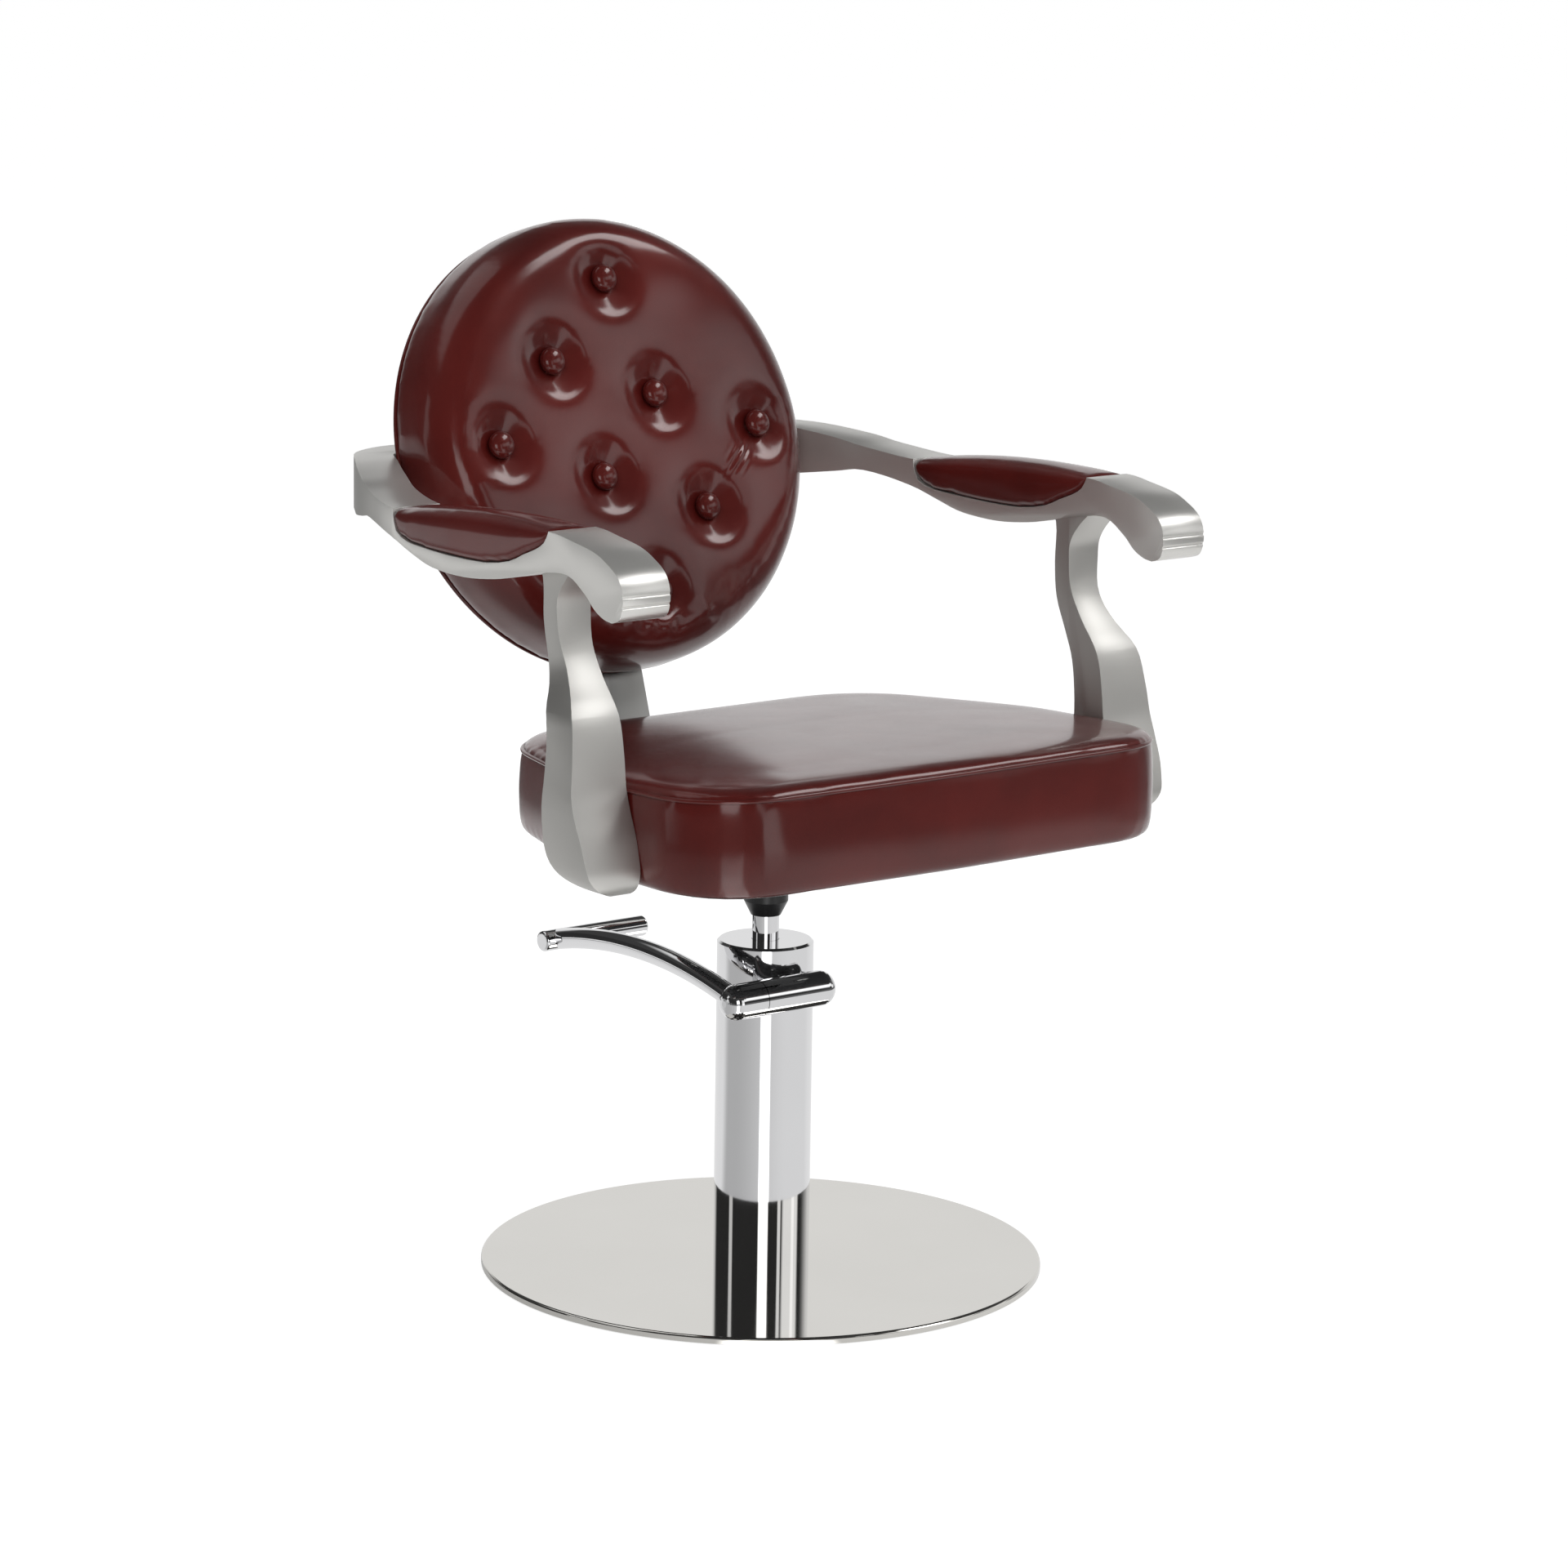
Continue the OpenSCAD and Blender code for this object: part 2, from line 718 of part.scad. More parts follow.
// Shaft with the finger that presses the plunger
module lever_shaft() {
    color(steel)
        at_pivot()
            difference() {
                union() {
                    rod(shaft_r, shaft_x0, shaft_x1);
                    rod_finger();
                }
                translate([set_screw_x, 0, -hub_r])
                    pin(set_screw_d / 2 + fit, 0, hub_r - shaft_r + screw_dent);
            }
}
module rod_finger() {
    translate([-finger_w / 2, 0, -finger_h / 2])
        cube([finger_w, finger_reach, finger_h]);
    translate([0, finger_reach, 0])
        rod(finger_h / 2, -finger_w / 2, finger_w / 2);
}
module lever_hub() {
    color(chrome)
        at_pivot()
            difference() {
                rod(hub_r, hub_x0, hub_x1, hub_edge, 0);
                rod(shaft_r + fit, shaft_x0, hub_x1 + cut);
                translate([set_screw_x, 0, -hub_r - cut])
                    pin(set_screw_d / 2 + fit, 0, hub_r + cut);
            }
}
module hub_screw() {
    color(dark_steel)
        at_pivot()
            translate([set_screw_x, 0, screw_dent - shaft_r - set_screw_l])
                difference() {
                    pin(set_screw_d / 2, 0, set_screw_l);
                    translate([0, 0, -cut])
                        cylinder(d = set_screw_d / 2, h = set_screw_l / 2, $fn = 6);
                }
}
// Tube bent to one arc in the YZ plane, coped to the hub and to the pedal bar
module lever_arm() {
    color(chrome)
        difference() {
            translate([lever_x, apex_y, apex_z - lever_arc_r])
                rotate([0, 90, 0])
                    rotate([0, 0, 180 - pedal_turn])
                        rotate_extrude(angle = pedal_turn + hub_turn)
                            translate([lever_arc_r, 0])
                                difference() {
                                    circle(r = lever_d / 2);
                                    circle(r = lever_d / 2 - lever_wall);
                                }
            at_pivot()
                rod(hub_r + fit, hub_x0 - fit, hub_x1, hub_edge + fit, 0);
            translate([0, pedal_y, pedal_z])
                rod(lever_d / 2 + fit, pedal_x0 - cut, pedal_x0 + pedal_w);
        }
}
module pedal_bar() {
    color(chrome)
        translate([0, pedal_y, pedal_z])
            difference() {
                rod(lever_d / 2, pedal_x0, pedal_x0 + pedal_w);
                rod(lever_d / 2 - lever_wall, pedal_x0 - cut, pedal_x0 + pedal_w + cut);
            }
}
module pedal_caps() {
    plug_r = lever_d / 2 - lever_wall - fit;
    color(chrome)
        translate([0, pedal_y, pedal_z]) {
            rod(plug_r, pedal_x0, pedal_x0 + plug_in);
            rod(lever_d / 2, pedal_x0 - plug_dome, pedal_x0, plug_dome - fit, 0);
            rod(plug_r, pedal_x0 + pedal_w - plug_in, pedal_x0 + pedal_w);
            rod(lever_d / 2, pedal_x0 + pedal_w, pedal_x0 + pedal_w + plug_dome, 0, plug_dome - fit);
        }
}

// ---- Seat carrier ----
module seat_collar() {
    color(dark_steel)
        difference() {
            rotate_extrude()
                polygon([
                    [0, collar_z], [ram_d / 2 + 1.5, collar_z], [collar_d / 2, collar_z + collar_lip],
                    [collar_d / 2, plate_z], [0, plate_z]]);
            translate([0, 0, collar_z])
                cylinder(r1 = ram_d / 2 - taper_in / 4 + fit, r2 = ram_d / 2 - taper_in + fit, h = taper_h);
            pin(bolt_d / 2 + gap, collar_z, plate_z + cut);
        }
}
module collar_bolt() {
    color(steel)
        translate([0, 0, plate_z + plate_t])
            rotate([180, 0, 0])
                bolt(plate_t + collar_h - taper_h / 2 - gap);
}
module mount_plate() {
    color(dark_steel)
        translate([0, 0, plate_z])
            difference() {
                round_plate(plate_w, plate_r, plate_t);
                pin(bolt_d / 2 + gap, -cut, plate_t + cut);
                at_corners([plate_bolt, plate_bolt])
                    pin(bolt_d / 2 + fit, -cut, plate_t + cut);
            }
}
module seat_rails() {
    color(dark_steel)
        for (s = [-1, 1])
            difference() {
                translate([s * rail_x - rail_w / 2, -rail_len / 2, rail_z])
                    difference() {
                        cube([rail_w, rail_len, rail_h]);
                        translate([s > 0 ? -cut : rail_wall, -cut, rail_wall])
                            cube([rail_w - rail_wall + cut, rail_len + 2 * cut, rail_h - 2 * rail_wall]);
                    }
                for (y = [-plate_bolt, plate_bolt])
                    translate([s * plate_bolt, y, 0])
                        pin(bolt_d / 2 + fit, rail_z - cut, rail_z + rail_wall + cut);
                for (y = [-rail_screw_y, rail_screw_y])
                    translate([s * rail_screw_x, y, 0])
                        pin(bolt_d / 2 + fit, seat_z - rail_wall - cut, seat_z + cut);
            }
}
module plate_bolts() {
    color(steel)
        at_corners([plate_bolt, plate_bolt]) {
            translate([0, 0, plate_z])
                bolt(plate_t + rail_wall + nut_h);
            translate([0, 0, rail_z + rail_wall])
                cylinder(d = bolt_head_d, h = nut_h, $fn = 6);
        }
}
module rail_screws() {
    color(steel)
        at_corners([rail_screw_x, rail_screw_y])
            translate([0, 0, seat_z - rail_wall])
                bolt(rail_wall + dust_t + screw_in);
}

// ---- Seat ----
module rail_screw_holes() {
    at_corners([rail_screw_x, rail_screw_y])
        pin(bolt_d / 2 + fit, seat_z - cut, seat_z + dust_t + screw_in);
    for (y = bar_seat_rows)
        translate([0, y, 0])
            pin(bolt_d / 2 + fit, seat_z - cut, seat_z + dust_t + screw_in);
}
module dust_cover() {
    color(cloth)
        difference() {
            translate([0, 0, seat_z])
                linear_extrude(dust_t)
                    polygon(rounded(seat_corners, seat_radii, board_inset + gap));
            rail_screw_holes();
        }
}
module seat_board() {
    color(birch)
        difference() {
            translate([0, 0, board_z])
                linear_extrude(board_t)
                    polygon(rounded(seat_corners, seat_radii, board_inset + gap));
            rail_screw_holes();
        }
}
// Hardwood blocks on the board's ends, which take the uprights' bolts
module side_block(grow = 0) {
    translate([block_x - block_size[0], block_y - block_size[1] / 2 - grow, board_top])
        translate([-grow, 0, -grow])
            cube([block_size[0] + 2 * grow, block_size[1] + 2 * grow, block_size[2] + 2 * grow]);
}
module at_upright_bolts() {
    for (k = [0, 1])
        translate([0, block_y + upright_bolt_y[k], board_top + upright_bolt_z[k]])
            rotate([0, 90, 0])
                children();
}
module both_sides() {
    for (s = [0, 1])
        mirror([s, 0, 0])
            children();
}
module side_blocks() {
    color(birch)
        both_sides()
            difference() {
                side_block();
                at_upright_bolts()
                    pin(bolt_d / 2 + fit, 0, seat_w);
            }
}
module upright_bolts() {
    color(steel)
        both_sides()
            at_upright_bolts()
                translate([0, 0, block_x - block_size[0]])
                    bolt(upright_in + upright_bolt_in - block_x + block_size[0]);
}
function piping_h(y) = seat_side_h - seat_fall * (y - seat_y0) / seat_depth;
// Ring of the cushion, drawn in by d, at a share f of the piping's height plus h
function seat_ring(d, f, h) = [
    for (q = rounded(seat_corners, seat_radii, d))
        [q[0], q[1], seat_z + f * piping_h(q[1]) + h]];
// Ring of the crown: the seam's ring shrunk by s about the seat's middle
function crown_ring(s) = [
    for (q = rounded(seat_corners, seat_radii, crown_in))
        let (p = seat_mid + (q - seat_mid) * s)
        [p[0], p[1], seat_z + piping_h(p[1]) + seat_crown * sqrt(1 - s * s * s * s) + 1]];
module seat_cushion() {
    w = piping_d / 2;
    low = board_t + dust_t + gap;
    rings = concat(
        [seat_ring(board_inset, 0, low), seat_ring(board_inset, 0, 0), seat_ring(8, 0, 0),
            seat_ring(2.5, 0, 3), seat_ring(0.3, 0, 11), seat_ring(-side_swell, 0.5, 4),
            seat_ring(0.8, 0.8, 8), seat_ring(1.8, 1, -w), seat_ring(0, 1, -w * 0.8),
            seat_ring(-piping_out, 1, 0), seat_ring(0, 1, w * 0.8), seat_ring(2, 1, w)],
        [for (s = [1, 0.97, 0.92, 0.84, 0.7, 0.5, 0.25]) crown_ring(s)]);
    color(leather)
        difference() {
            skin(rings, [seat_mid[0], seat_mid[1], seat_z + low],
                [seat_mid[0], seat_mid[1], seat_z + piping_h(seat_mid[1]) + seat_crown + 1]);
            both_sides() {
                side_block(gap);
                at_upright_bolts()
                    pin(bolt_d / 2 + gap, block_x - cut, seat_w);
                at_upright_bolts()
                    pin(bolt_head_d / 2 + gap, block_x - block_size[0] - head_h - cut, block_x);
            }
        }
}

// ---- Back: drawn with +Z out of its front and +Y up its face, then leaned ----
module at_back() {
    translate([0, back_y, back_z])
        rotate([90 - back_tilt, 0, 0])
            children();
}
// Three slanting rows of three, two and three buttons
buttons = [
    for (row = [-1:1])
        for (col = row == 0 ? [-0.5, 0.5] : [-1, 0, 1])
            button_step * [col + row, col - row] / sqrt(2)];
// Height of the front face over the buttons' plane, at the point q
function tufting(q, i = 0) =
    i == len(buttons) ? 1
        : (1 - tuft_pull * exp(-pow(norm(q - buttons[i]) / tuft_r, 2))) * tufting(q, i + 1);
function face_h(q) =
    let (s = min(norm(q) / face_r, 1))
    face_edge + (face_edge + back_crown * sqrt(1 - pow(s, 4))) * tufting(q) - face_edge * (1 - s * s);
function back_circle(r, z) = [
    for (i = [0:back_steps - 1])
        let (a = 360 * i / back_steps)
        [r * cos(a), r * sin(a), z]];
function face_circle(s) = [
    for (p = back_circle(face_r * s, 0))
        [p[0], p[1], face_h([p[0], p[1]])]];
module at_bar_bolts() {
    for (x = [-bar_bolt_x, bar_bolt_x])
        for (y = bar_bolt_rows)
            translate([x, y, 0])
                children();
}
// Bolts from the arms into the back board, along -Y
module at_arm_bolts() {
    both_sides()
        for (x = arm_bolt_x)
            translate([x, 0, arm_bolt_z])
                rotate([90, 0, 0])
                    children();
}
module arm_bolt_holes(grow = fit) {
    at_arm_bolts()
        pin(bolt_d / 2 + grow, -arm_bolt_head_y, -back_y);
}
module back_cushion() {
    r = (board_r + gap) / cos(180 / back_steps);
    floor_z = board_t - back_t + gap;
    rings = concat(
        [back_circle(r, floor_z), back_circle(r, -back_t), back_circle(back_r - back_edge - 1, -back_t),
            back_circle(back_r - 1, back_edge - back_t), back_circle(back_r, 3 * back_edge - back_t),
            back_circle(back_r - 0.5, -face_roll), back_circle(back_r - 3, -3),
            back_circle(back_r - face_roll / 2, 4), back_circle(back_r - face_roll * 0.75, 4.5)],
        [for (s = face_rings) face_circle(s)]);
    color(leather)
        at_back()
            difference() {
                skin(rings, [0, 0, floor_z], [0, 0, face_h([0, 0])]);
                for (b = buttons)
                    translate(b)
                        pin(button_d / 2 + gap, button_z, 3 * back_crown + face_edge);
            }
}
module back_buttons() {
    r = button_d / 2;
    color(leather)
        at_back()
            for (b = buttons)
                translate([b[0], b[1], button_z])
                    rotate_extrude($fn = 48)
                        polygon(concat(
                            [[0, 0], [r, 0]],
                            [for (a = [0:15:90]) [r * cos(a), 2 + (button_h - 2) * sin(a)]]));
}
module back_board() {
    color(birch)
        difference() {
            at_back()
                difference() {
                    pin(board_r, -back_t, board_t - back_t, $fn = 96);
                    at_bar_bolts()
                        pin(bolt_d / 2 + fit, -back_t - cut, thread_in - back_t);
                }
            arm_bolt_holes();
        }
}
module back_panel() {
    edge = panel_t / 2;
    color(leather)
        difference() {
            at_back()
                difference() {
                    translate([0, 0, -panel_back])
                        rotate_extrude()
                            polygon(concat(
                                [[0, 0]],
                                [for (a = [-90:15:0])
                                    [back_r - back_edge - 1 - edge + edge * cos(a), edge + edge * sin(a)]],
                                [[back_r - back_edge - 1, panel_t], [0, panel_t]]));
                    at_bar_bolts()
                        pin(bolt_d / 2 + fit, -panel_back - cut, cut - back_t);
                }
            arm_bolt_holes();
        }
}
// Flat bar: up the panel's back, round a bend and forward under the seat board
module back_bar() {
    lean = 90 - back_tilt;
    up = [sin(back_tilt), cos(back_tilt)];
    out = [cos(back_tilt), -sin(back_tilt)];
    foot = [bar_foot_y, seat_z];
    top = foot + up * (back_rise / cos(back_tilt) + bar_top - panel_back * tan(back_tilt));
    turn = bar_bend_r * tan(lean / 2);
    mid = foot + [-turn, bar_bend_r];
    color(steel)
        difference() {
            translate([-bar_w / 2, 0, 0])
                rotate([90, 0, 90])
                    linear_extrude(bar_w)
                        polygon(concat(
                            arc(mid, bar_bend_r, -90, lean - 90, 8), [top, top + out * bar_t],
                            arc(mid, bar_bend_r + bar_t, lean - 90, -90, 8),
                            [[bar_fore, seat_z - bar_t], [bar_fore, seat_z]]));
            at_back()
                at_bar_bolts()
                    pin(bolt_d / 2 + fit, -panel_back - bar_t - cut, cut - panel_back);
            for (y = bar_seat_rows)
                translate([0, y, 0])
                    pin(bolt_d / 2 + fit, seat_z - bar_t - cut, seat_z + cut);
        }
}
function arc(c, r, a0, a1, n) = [
    for (i = [0:n])
        let (a = a0 + (a1 - a0) * i / n)
        c + r * [cos(a), sin(a)]];
module bar_bolts() {
    color(steel) {
        at_back()
            at_bar_bolts()
                translate([0, 0, -panel_back - bar_t])
                    bolt(bar_t + panel_t + thread_in - cut);
        for (y = bar_seat_rows)
            translate([0, y, seat_z - bar_t])
                bolt(bar_t + dust_t + screw_in - cut);
    }
}

// ---- Arms, drawn for the +X side ----
arm_line = curve([for (p = arm_plan) [arm_mid - p[0], p[1], p[2]]]);
arm_side = concat(curve(arm_top), curve(arm_low));
arm_roof = [for (p = curve(arm_top)) if (p[1] > 30) p];
module arm_prism(P) {
    rotate([90, 0, 90])
        linear_extrude(seat_w)
            translate([0, arm_z])
                polygon(P);
}
module arm_outline() {
    last = len(arm_line) - 1;
    flat = [for (p = arm_line) [p[0], p[1]]];
    offs = [for (i = [0:last]) right_of(along(flat, i)) * arm_line[i][2]];
    translate([0, 0, arm_z - arm_w])
        linear_extrude(3 * arm_w)
            polygon(concat(
                [for (i = [0:last]) flat[i] + offs[i]],
                [for (i = [last:-1:0]) flat[i] - offs[i]]));
}
pad_line = curve(pad_low, 2);
pad_y0 = pad_line[len(pad_line) - 1][0];
pad_y1 = pad_line[0][0];
module arm() {
    color(steel)
        difference() {
            intersection() {
                arm_prism(arm_side);
                arm_outline();
            }
            arm_prism(concat(pad_line, [[pad_y0, 2 * arm_w], [pad_y1, 2 * arm_w]]));
            for (z = flute_z)
                translate([0, arm_nose_y(z), arm_z + z])
                    rod(flute_r, 0, seat_w);
            arm_bolt_holes();
            at_arm_bolts()
                pin(bolt_head_d / 2 + gap, -back_y - 3 * arm_w, -arm_bolt_head_y);
        }
}
nose = [for (p = curve(arm_top)) if (p[0] < -230 && p[1] > -8 && p[1] < 32) [p[1], p[0]]];
function arm_nose_y(z) = lookup(z, nose) - flute_r / 2;
pad_section = [
    [-0.97, 0], [0.97, 0], [1, 0.35], [0.98, 0.62], [0.87, 0.84], [0.6, 0.95], [0, 1],
    [-0.6, 0.95], [-0.87, 0.84], [-0.98, 0.62], [-1, 0.35]];
function line_x(y) = lookup(y, [for (p = arm_line) [p[1], p[0]]]);
function line_w(y) = lookup(y, [for (p = arm_line) [p[1], p[2]]]) + pad_proud;
function roof_z(y) = lookup(y, arm_roof)
    + pad_crown * sqrt(sin(180 * min(max((y - pad_y0) / (pad_y1 - pad_y0), 0), 1)));
module arm_pad() {
    rings = [
        for (p = pad_line)
            let (y = p[0], h = roof_z(y) - p[1])
            [for (c = pad_section) [line_x(y) + c[0] * line_w(y), y, arm_z + p[1] + c[1] * h]]];
    last = len(rings) - 1;
    color(leather)
        skin(rings, pad_end(0), pad_end(last));
}
function pad_end(i) =
    let (p = pad_line[i])
    [line_x(p[0]), p[0], arm_z + (p[1] + roof_z(p[0])) / 2];
module upright() {
    widths = curve(upright_widths, 3);
    color(steel)
        difference() {
            intersection() {
                arm_prism(concat(curve(upright_front), curve(upright_back)));
                translate([upright_in, 0, arm_z])
                    rotate([90, 0, 0])
                        linear_extrude(2 * seat_depth, center = true)
                            polygon(concat(
                                [[0, 2 * arm_w], [0, widths[0][0]]],
                                [for (w = widths) [w[1], w[0]]]));
            }
            arm_prism(arm_side);
            at_upright_bolts()
                pin(bolt_d / 2 + fit, 0, upright_in + upright_bolt_in);
        }
}
// Wedge between the leaning panel and the upright end of an arm
module arm_bracket() {
    color(dark_steel)
        difference() {
            translate([bracket_x0, back_y, arm_bolt_z - bracket_h / 2])
                cube([bracket_x1 - bracket_x0, arm_rear_y - back_y, bracket_h]);
            arm_outline();
            at_back()
                translate([-back_d, -back_d, -panel_back])
                    cube(2 * back_d);
            arm_bolt_holes();
        }
}
module arm_bolts() {
    color(steel)
        both_sides()
            for (x = arm_bolt_x)
                translate([x, arm_bolt_head_y, arm_bolt_z])
                    rotate([90, 0, 0])
                        bolt(arm_bolt_head_y - arm_inner_y + arm_bolt_grip);
}
module other_side() {
    mirror([1, 0, 0])
        children();
}

floor_mat();
base_weight();
base_cover();
base_bolts();
pump_foot();
reservoir();
lift_cylinder();
pump_head();
guide_bush();
wiper_seal();
gland_nut();
release_valve();
plunger_spring();
plunger();
column_cover();
column_cap();
pivot_housing();
shaft_bushes();
lever_shaft();
lever_hub();
hub_screw();
lever_arm();
pedal_bar();
pedal_caps();
piston();
piston_seal();
ram();
seat_collar();
collar_bolt();
mount_plate();
seat_rails();
plate_bolts();
rail_screws();
seat_board();
side_blocks();
dust_cover();
seat_cushion();
back_bar();
bar_bolts();
back_board();
back_cushion();
back_buttons();
back_panel();
other_side() arm();  // arm_left
arm();  // arm_right
other_side() arm_pad();  // arm_pad_left
arm_pad();  // arm_pad_right
other_side() upright();  // upright_left
upright();  // upright_right
upright_bolts();
other_side() arm_bracket();  // arm_bracket_left
arm_bracket();  // arm_bracket_right
arm_bolts();
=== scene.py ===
# %% [markdown]
# # A foot-pumped styling chair
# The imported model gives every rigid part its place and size, in metres: +Z is up and the
# sitter faces -Y. This script leaves those parts where they are, gives each one a finish,
# and makes the upholstery again with real swell, seams and dimples.

# %% Load the chair
import json
import math

import bpy
from mathutils import Matrix, Vector, kdtree, noise


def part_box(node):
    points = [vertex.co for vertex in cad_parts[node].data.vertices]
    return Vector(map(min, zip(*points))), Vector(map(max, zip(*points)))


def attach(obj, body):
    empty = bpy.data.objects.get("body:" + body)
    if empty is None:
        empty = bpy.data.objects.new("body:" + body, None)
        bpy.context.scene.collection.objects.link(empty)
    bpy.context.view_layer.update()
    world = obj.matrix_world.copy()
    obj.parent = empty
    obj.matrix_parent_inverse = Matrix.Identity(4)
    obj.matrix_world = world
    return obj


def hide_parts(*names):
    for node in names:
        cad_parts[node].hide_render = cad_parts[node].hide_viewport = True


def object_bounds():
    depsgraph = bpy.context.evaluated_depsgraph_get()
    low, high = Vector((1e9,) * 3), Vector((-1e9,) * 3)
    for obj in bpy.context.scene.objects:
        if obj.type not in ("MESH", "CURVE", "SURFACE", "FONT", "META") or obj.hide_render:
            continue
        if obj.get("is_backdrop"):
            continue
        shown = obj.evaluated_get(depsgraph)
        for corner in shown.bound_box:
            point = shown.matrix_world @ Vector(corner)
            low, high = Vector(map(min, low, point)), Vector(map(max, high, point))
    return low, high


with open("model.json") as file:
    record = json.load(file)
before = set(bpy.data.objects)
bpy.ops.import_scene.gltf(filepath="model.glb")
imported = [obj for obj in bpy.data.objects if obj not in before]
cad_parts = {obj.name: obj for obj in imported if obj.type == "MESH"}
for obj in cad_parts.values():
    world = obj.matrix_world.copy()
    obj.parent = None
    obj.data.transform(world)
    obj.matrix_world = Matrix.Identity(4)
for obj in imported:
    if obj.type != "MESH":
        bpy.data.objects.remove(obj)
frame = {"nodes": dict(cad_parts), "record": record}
nodes = frame["nodes"]
cad_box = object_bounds()
print("parts:", len(nodes), "height:", round(cad_box[1].z, 3))

# %% [markdown]
# ## Camera
# A long lens from 5 m away keeps the chair's lines nearly parallel. The camera stands at the
# front right corner of the floor, a little above the back, and looks slightly down. Building
# its turn from three plain turns (round the chair, down, and a small roll) is easier to read
# and to correct than one matrix of nine numbers.

# %% Camera
view_side = math.radians(-38.407)
view_down = math.radians(11.519)
view_roll = math.radians(0.885)
view_place = (-3.1355, -3.9819, 1.5417)
camera_data = bpy.data.cameras.new("camera")
camera_data.sensor_fit = "HORIZONTAL"
camera_data.sensor_width = 36.0
camera_data.lens = 115.75
camera_data.clip_end = 200.0
camera = bpy.data.objects.new("camera", camera_data)
bpy.context.collection.objects.link(camera)
camera.matrix_world = (
    Matrix.Translation(view_place)
    @ Matrix.Rotation(view_side, 4, "Z")
    @ Matrix.Rotation(math.pi / 2 - view_down, 4, "X")
    @ Matrix.Rotation(view_roll, 4, "Z")
)
bpy.context.scene.camera = camera
print("camera at", [round(v, 2) for v in camera.matrix_world.translation])

# %% [markdown]
# ## Finishes as sums
# A node tree is hard to read as a list of links. One small class wraps a socket, so that
# shader maths can be written like any other sum, and a second one holds a material and adds
# every other node through one method.

# %% Sums on sockets
class Signal:
    """A value in a node tree that can be added, subtracted and multiplied."""

    def __init__(self, tree, socket):
        self.tree = tree
        self.socket = socket

    def maths(self, operation, *others, first=None):
        """Add a maths node; first is the item that stands before this one."""
        node = self.tree.nodes.new("ShaderNodeMath")
        node.operation = operation
        items = (first, self) if first is not None else (self, *others)
        for place, item in zip(node.inputs, items):
            plug(self.tree, item, place)
        return Signal(self.tree, node.outputs[0])

    def __add__(self, other):
        return self.maths("ADD", other)

    def __radd__(self, other):
        return self.maths("ADD", other)

    def __sub__(self, other):
        return self.maths("SUBTRACT", other)

    def __rsub__(self, other):
        return self.maths("SUBTRACT", first=other)

    def __mul__(self, other):
        return self.maths("MULTIPLY", other)

    def __rmul__(self, other):
        return self.maths("MULTIPLY", other)

    def __abs__(self):
        return self.maths("ABSOLUTE")

    def ramp(self, low, high):
        """0 below low, 1 above high, smooth between."""
        node = self.tree.nodes.new("ShaderNodeMapRange")
        node.interpolation_type = "SMOOTHSTEP"
        for name, item in (("Value", self), ("From Min", low), ("From Max", high)):
            plug(self.tree, item, node.inputs[name])
        return Signal(self.tree, node.outputs["Result"])


def plug(tree, item, place):
    """Link a signal, or write a number or colour, into a socket."""
    if isinstance(item, Signal):
        tree.links.new(item.socket, place)
    elif isinstance(item, tuple) and len(item) == 3 and place.type == "RGBA":
        place.default_value = (*item, 1.0)
    else:
        place.default_value = item


class Sheet:
    """A node tree with one way to add a node."""

    def __init__(self, tree):
        self.tree = tree

    def node(self, kind, out=0, settings=None, **inputs):
        """Add a node: its settings first, then the values or links of its sockets."""
        node = self.tree.nodes.new(kind)
        for name, value in (settings or {}).items():
            setattr(node, name, value)
        for name, item in inputs.items():
            plug(self.tree, item, node.inputs[name.replace("_", " ")])
        return Signal(self.tree, node.outputs[out])

    def place(self, scale=(1, 1, 1)):
        """Object coordinates in metres, stretched."""
        where = self.node("ShaderNodeTexCoord", "Object")
        return self.node("ShaderNodeMapping", Vector=where, Scale=scale)

    def noise(self, scale, detail=3.0, stretch=(1, 1, 1)):
        """Soft noise from 0 to 1; a smaller stretch draws its grain out along that axis."""
        where = self.place(stretch)
        return self.node("ShaderNodeTexNoise", "Fac", Vector=where, Scale=scale, Detail=detail)

    def mix(self, share, a, b):
        """Colour a where share is 0, colour b where it is 1."""
        node = self.tree.nodes.new("ShaderNodeMix")
        node.data_type = "RGBA"
        for place, item in ((node.inputs[0], share), (node.inputs[6], a), (node.inputs[7], b)):
            plug(self.tree, item, place)
        return Signal(self.tree, node.outputs[2])

    def bump(self, height, strength, depth):
        """A normal bent by a height, whose full range is depth metres."""
        return self.node("ShaderNodeBump", Height=height, Strength=strength, Distance=depth)


class Finish(Sheet):
    """A material on one Principled shader."""

    def __init__(self, name, **shader):
        self.material = bpy.data.materials.new(name)
        self.material.use_nodes = True
        super().__init__(self.material.node_tree)
        self.shader = self.tree.nodes["Principled BSDF"]
        self.set(**shader)

    def set(self, **shader):
        for name, item in shader.items():
            plug(self.tree, item, self.shader.inputs[name.replace("_", " ")])


print("shader helpers ready")

# %% [markdown]
# ## Studio
# Polished metal shows its room, so a room is drawn for mirrors alone. The light path keeps the
# three views apart: the camera sees plain white, dull surfaces get an even pale light, and only
# mirrors see the room. Its directions are angles round the chair, 0 towards the camera.
# On the camera's side the room is dark, with four upright strip lights and a soft sheen to the
# right. A pale wall stands behind the chair, and low on the right its near end glows. Two soft
# lights hang high up, a strong one to the right and a weak one to the left; they draw the
# glints on the leather.

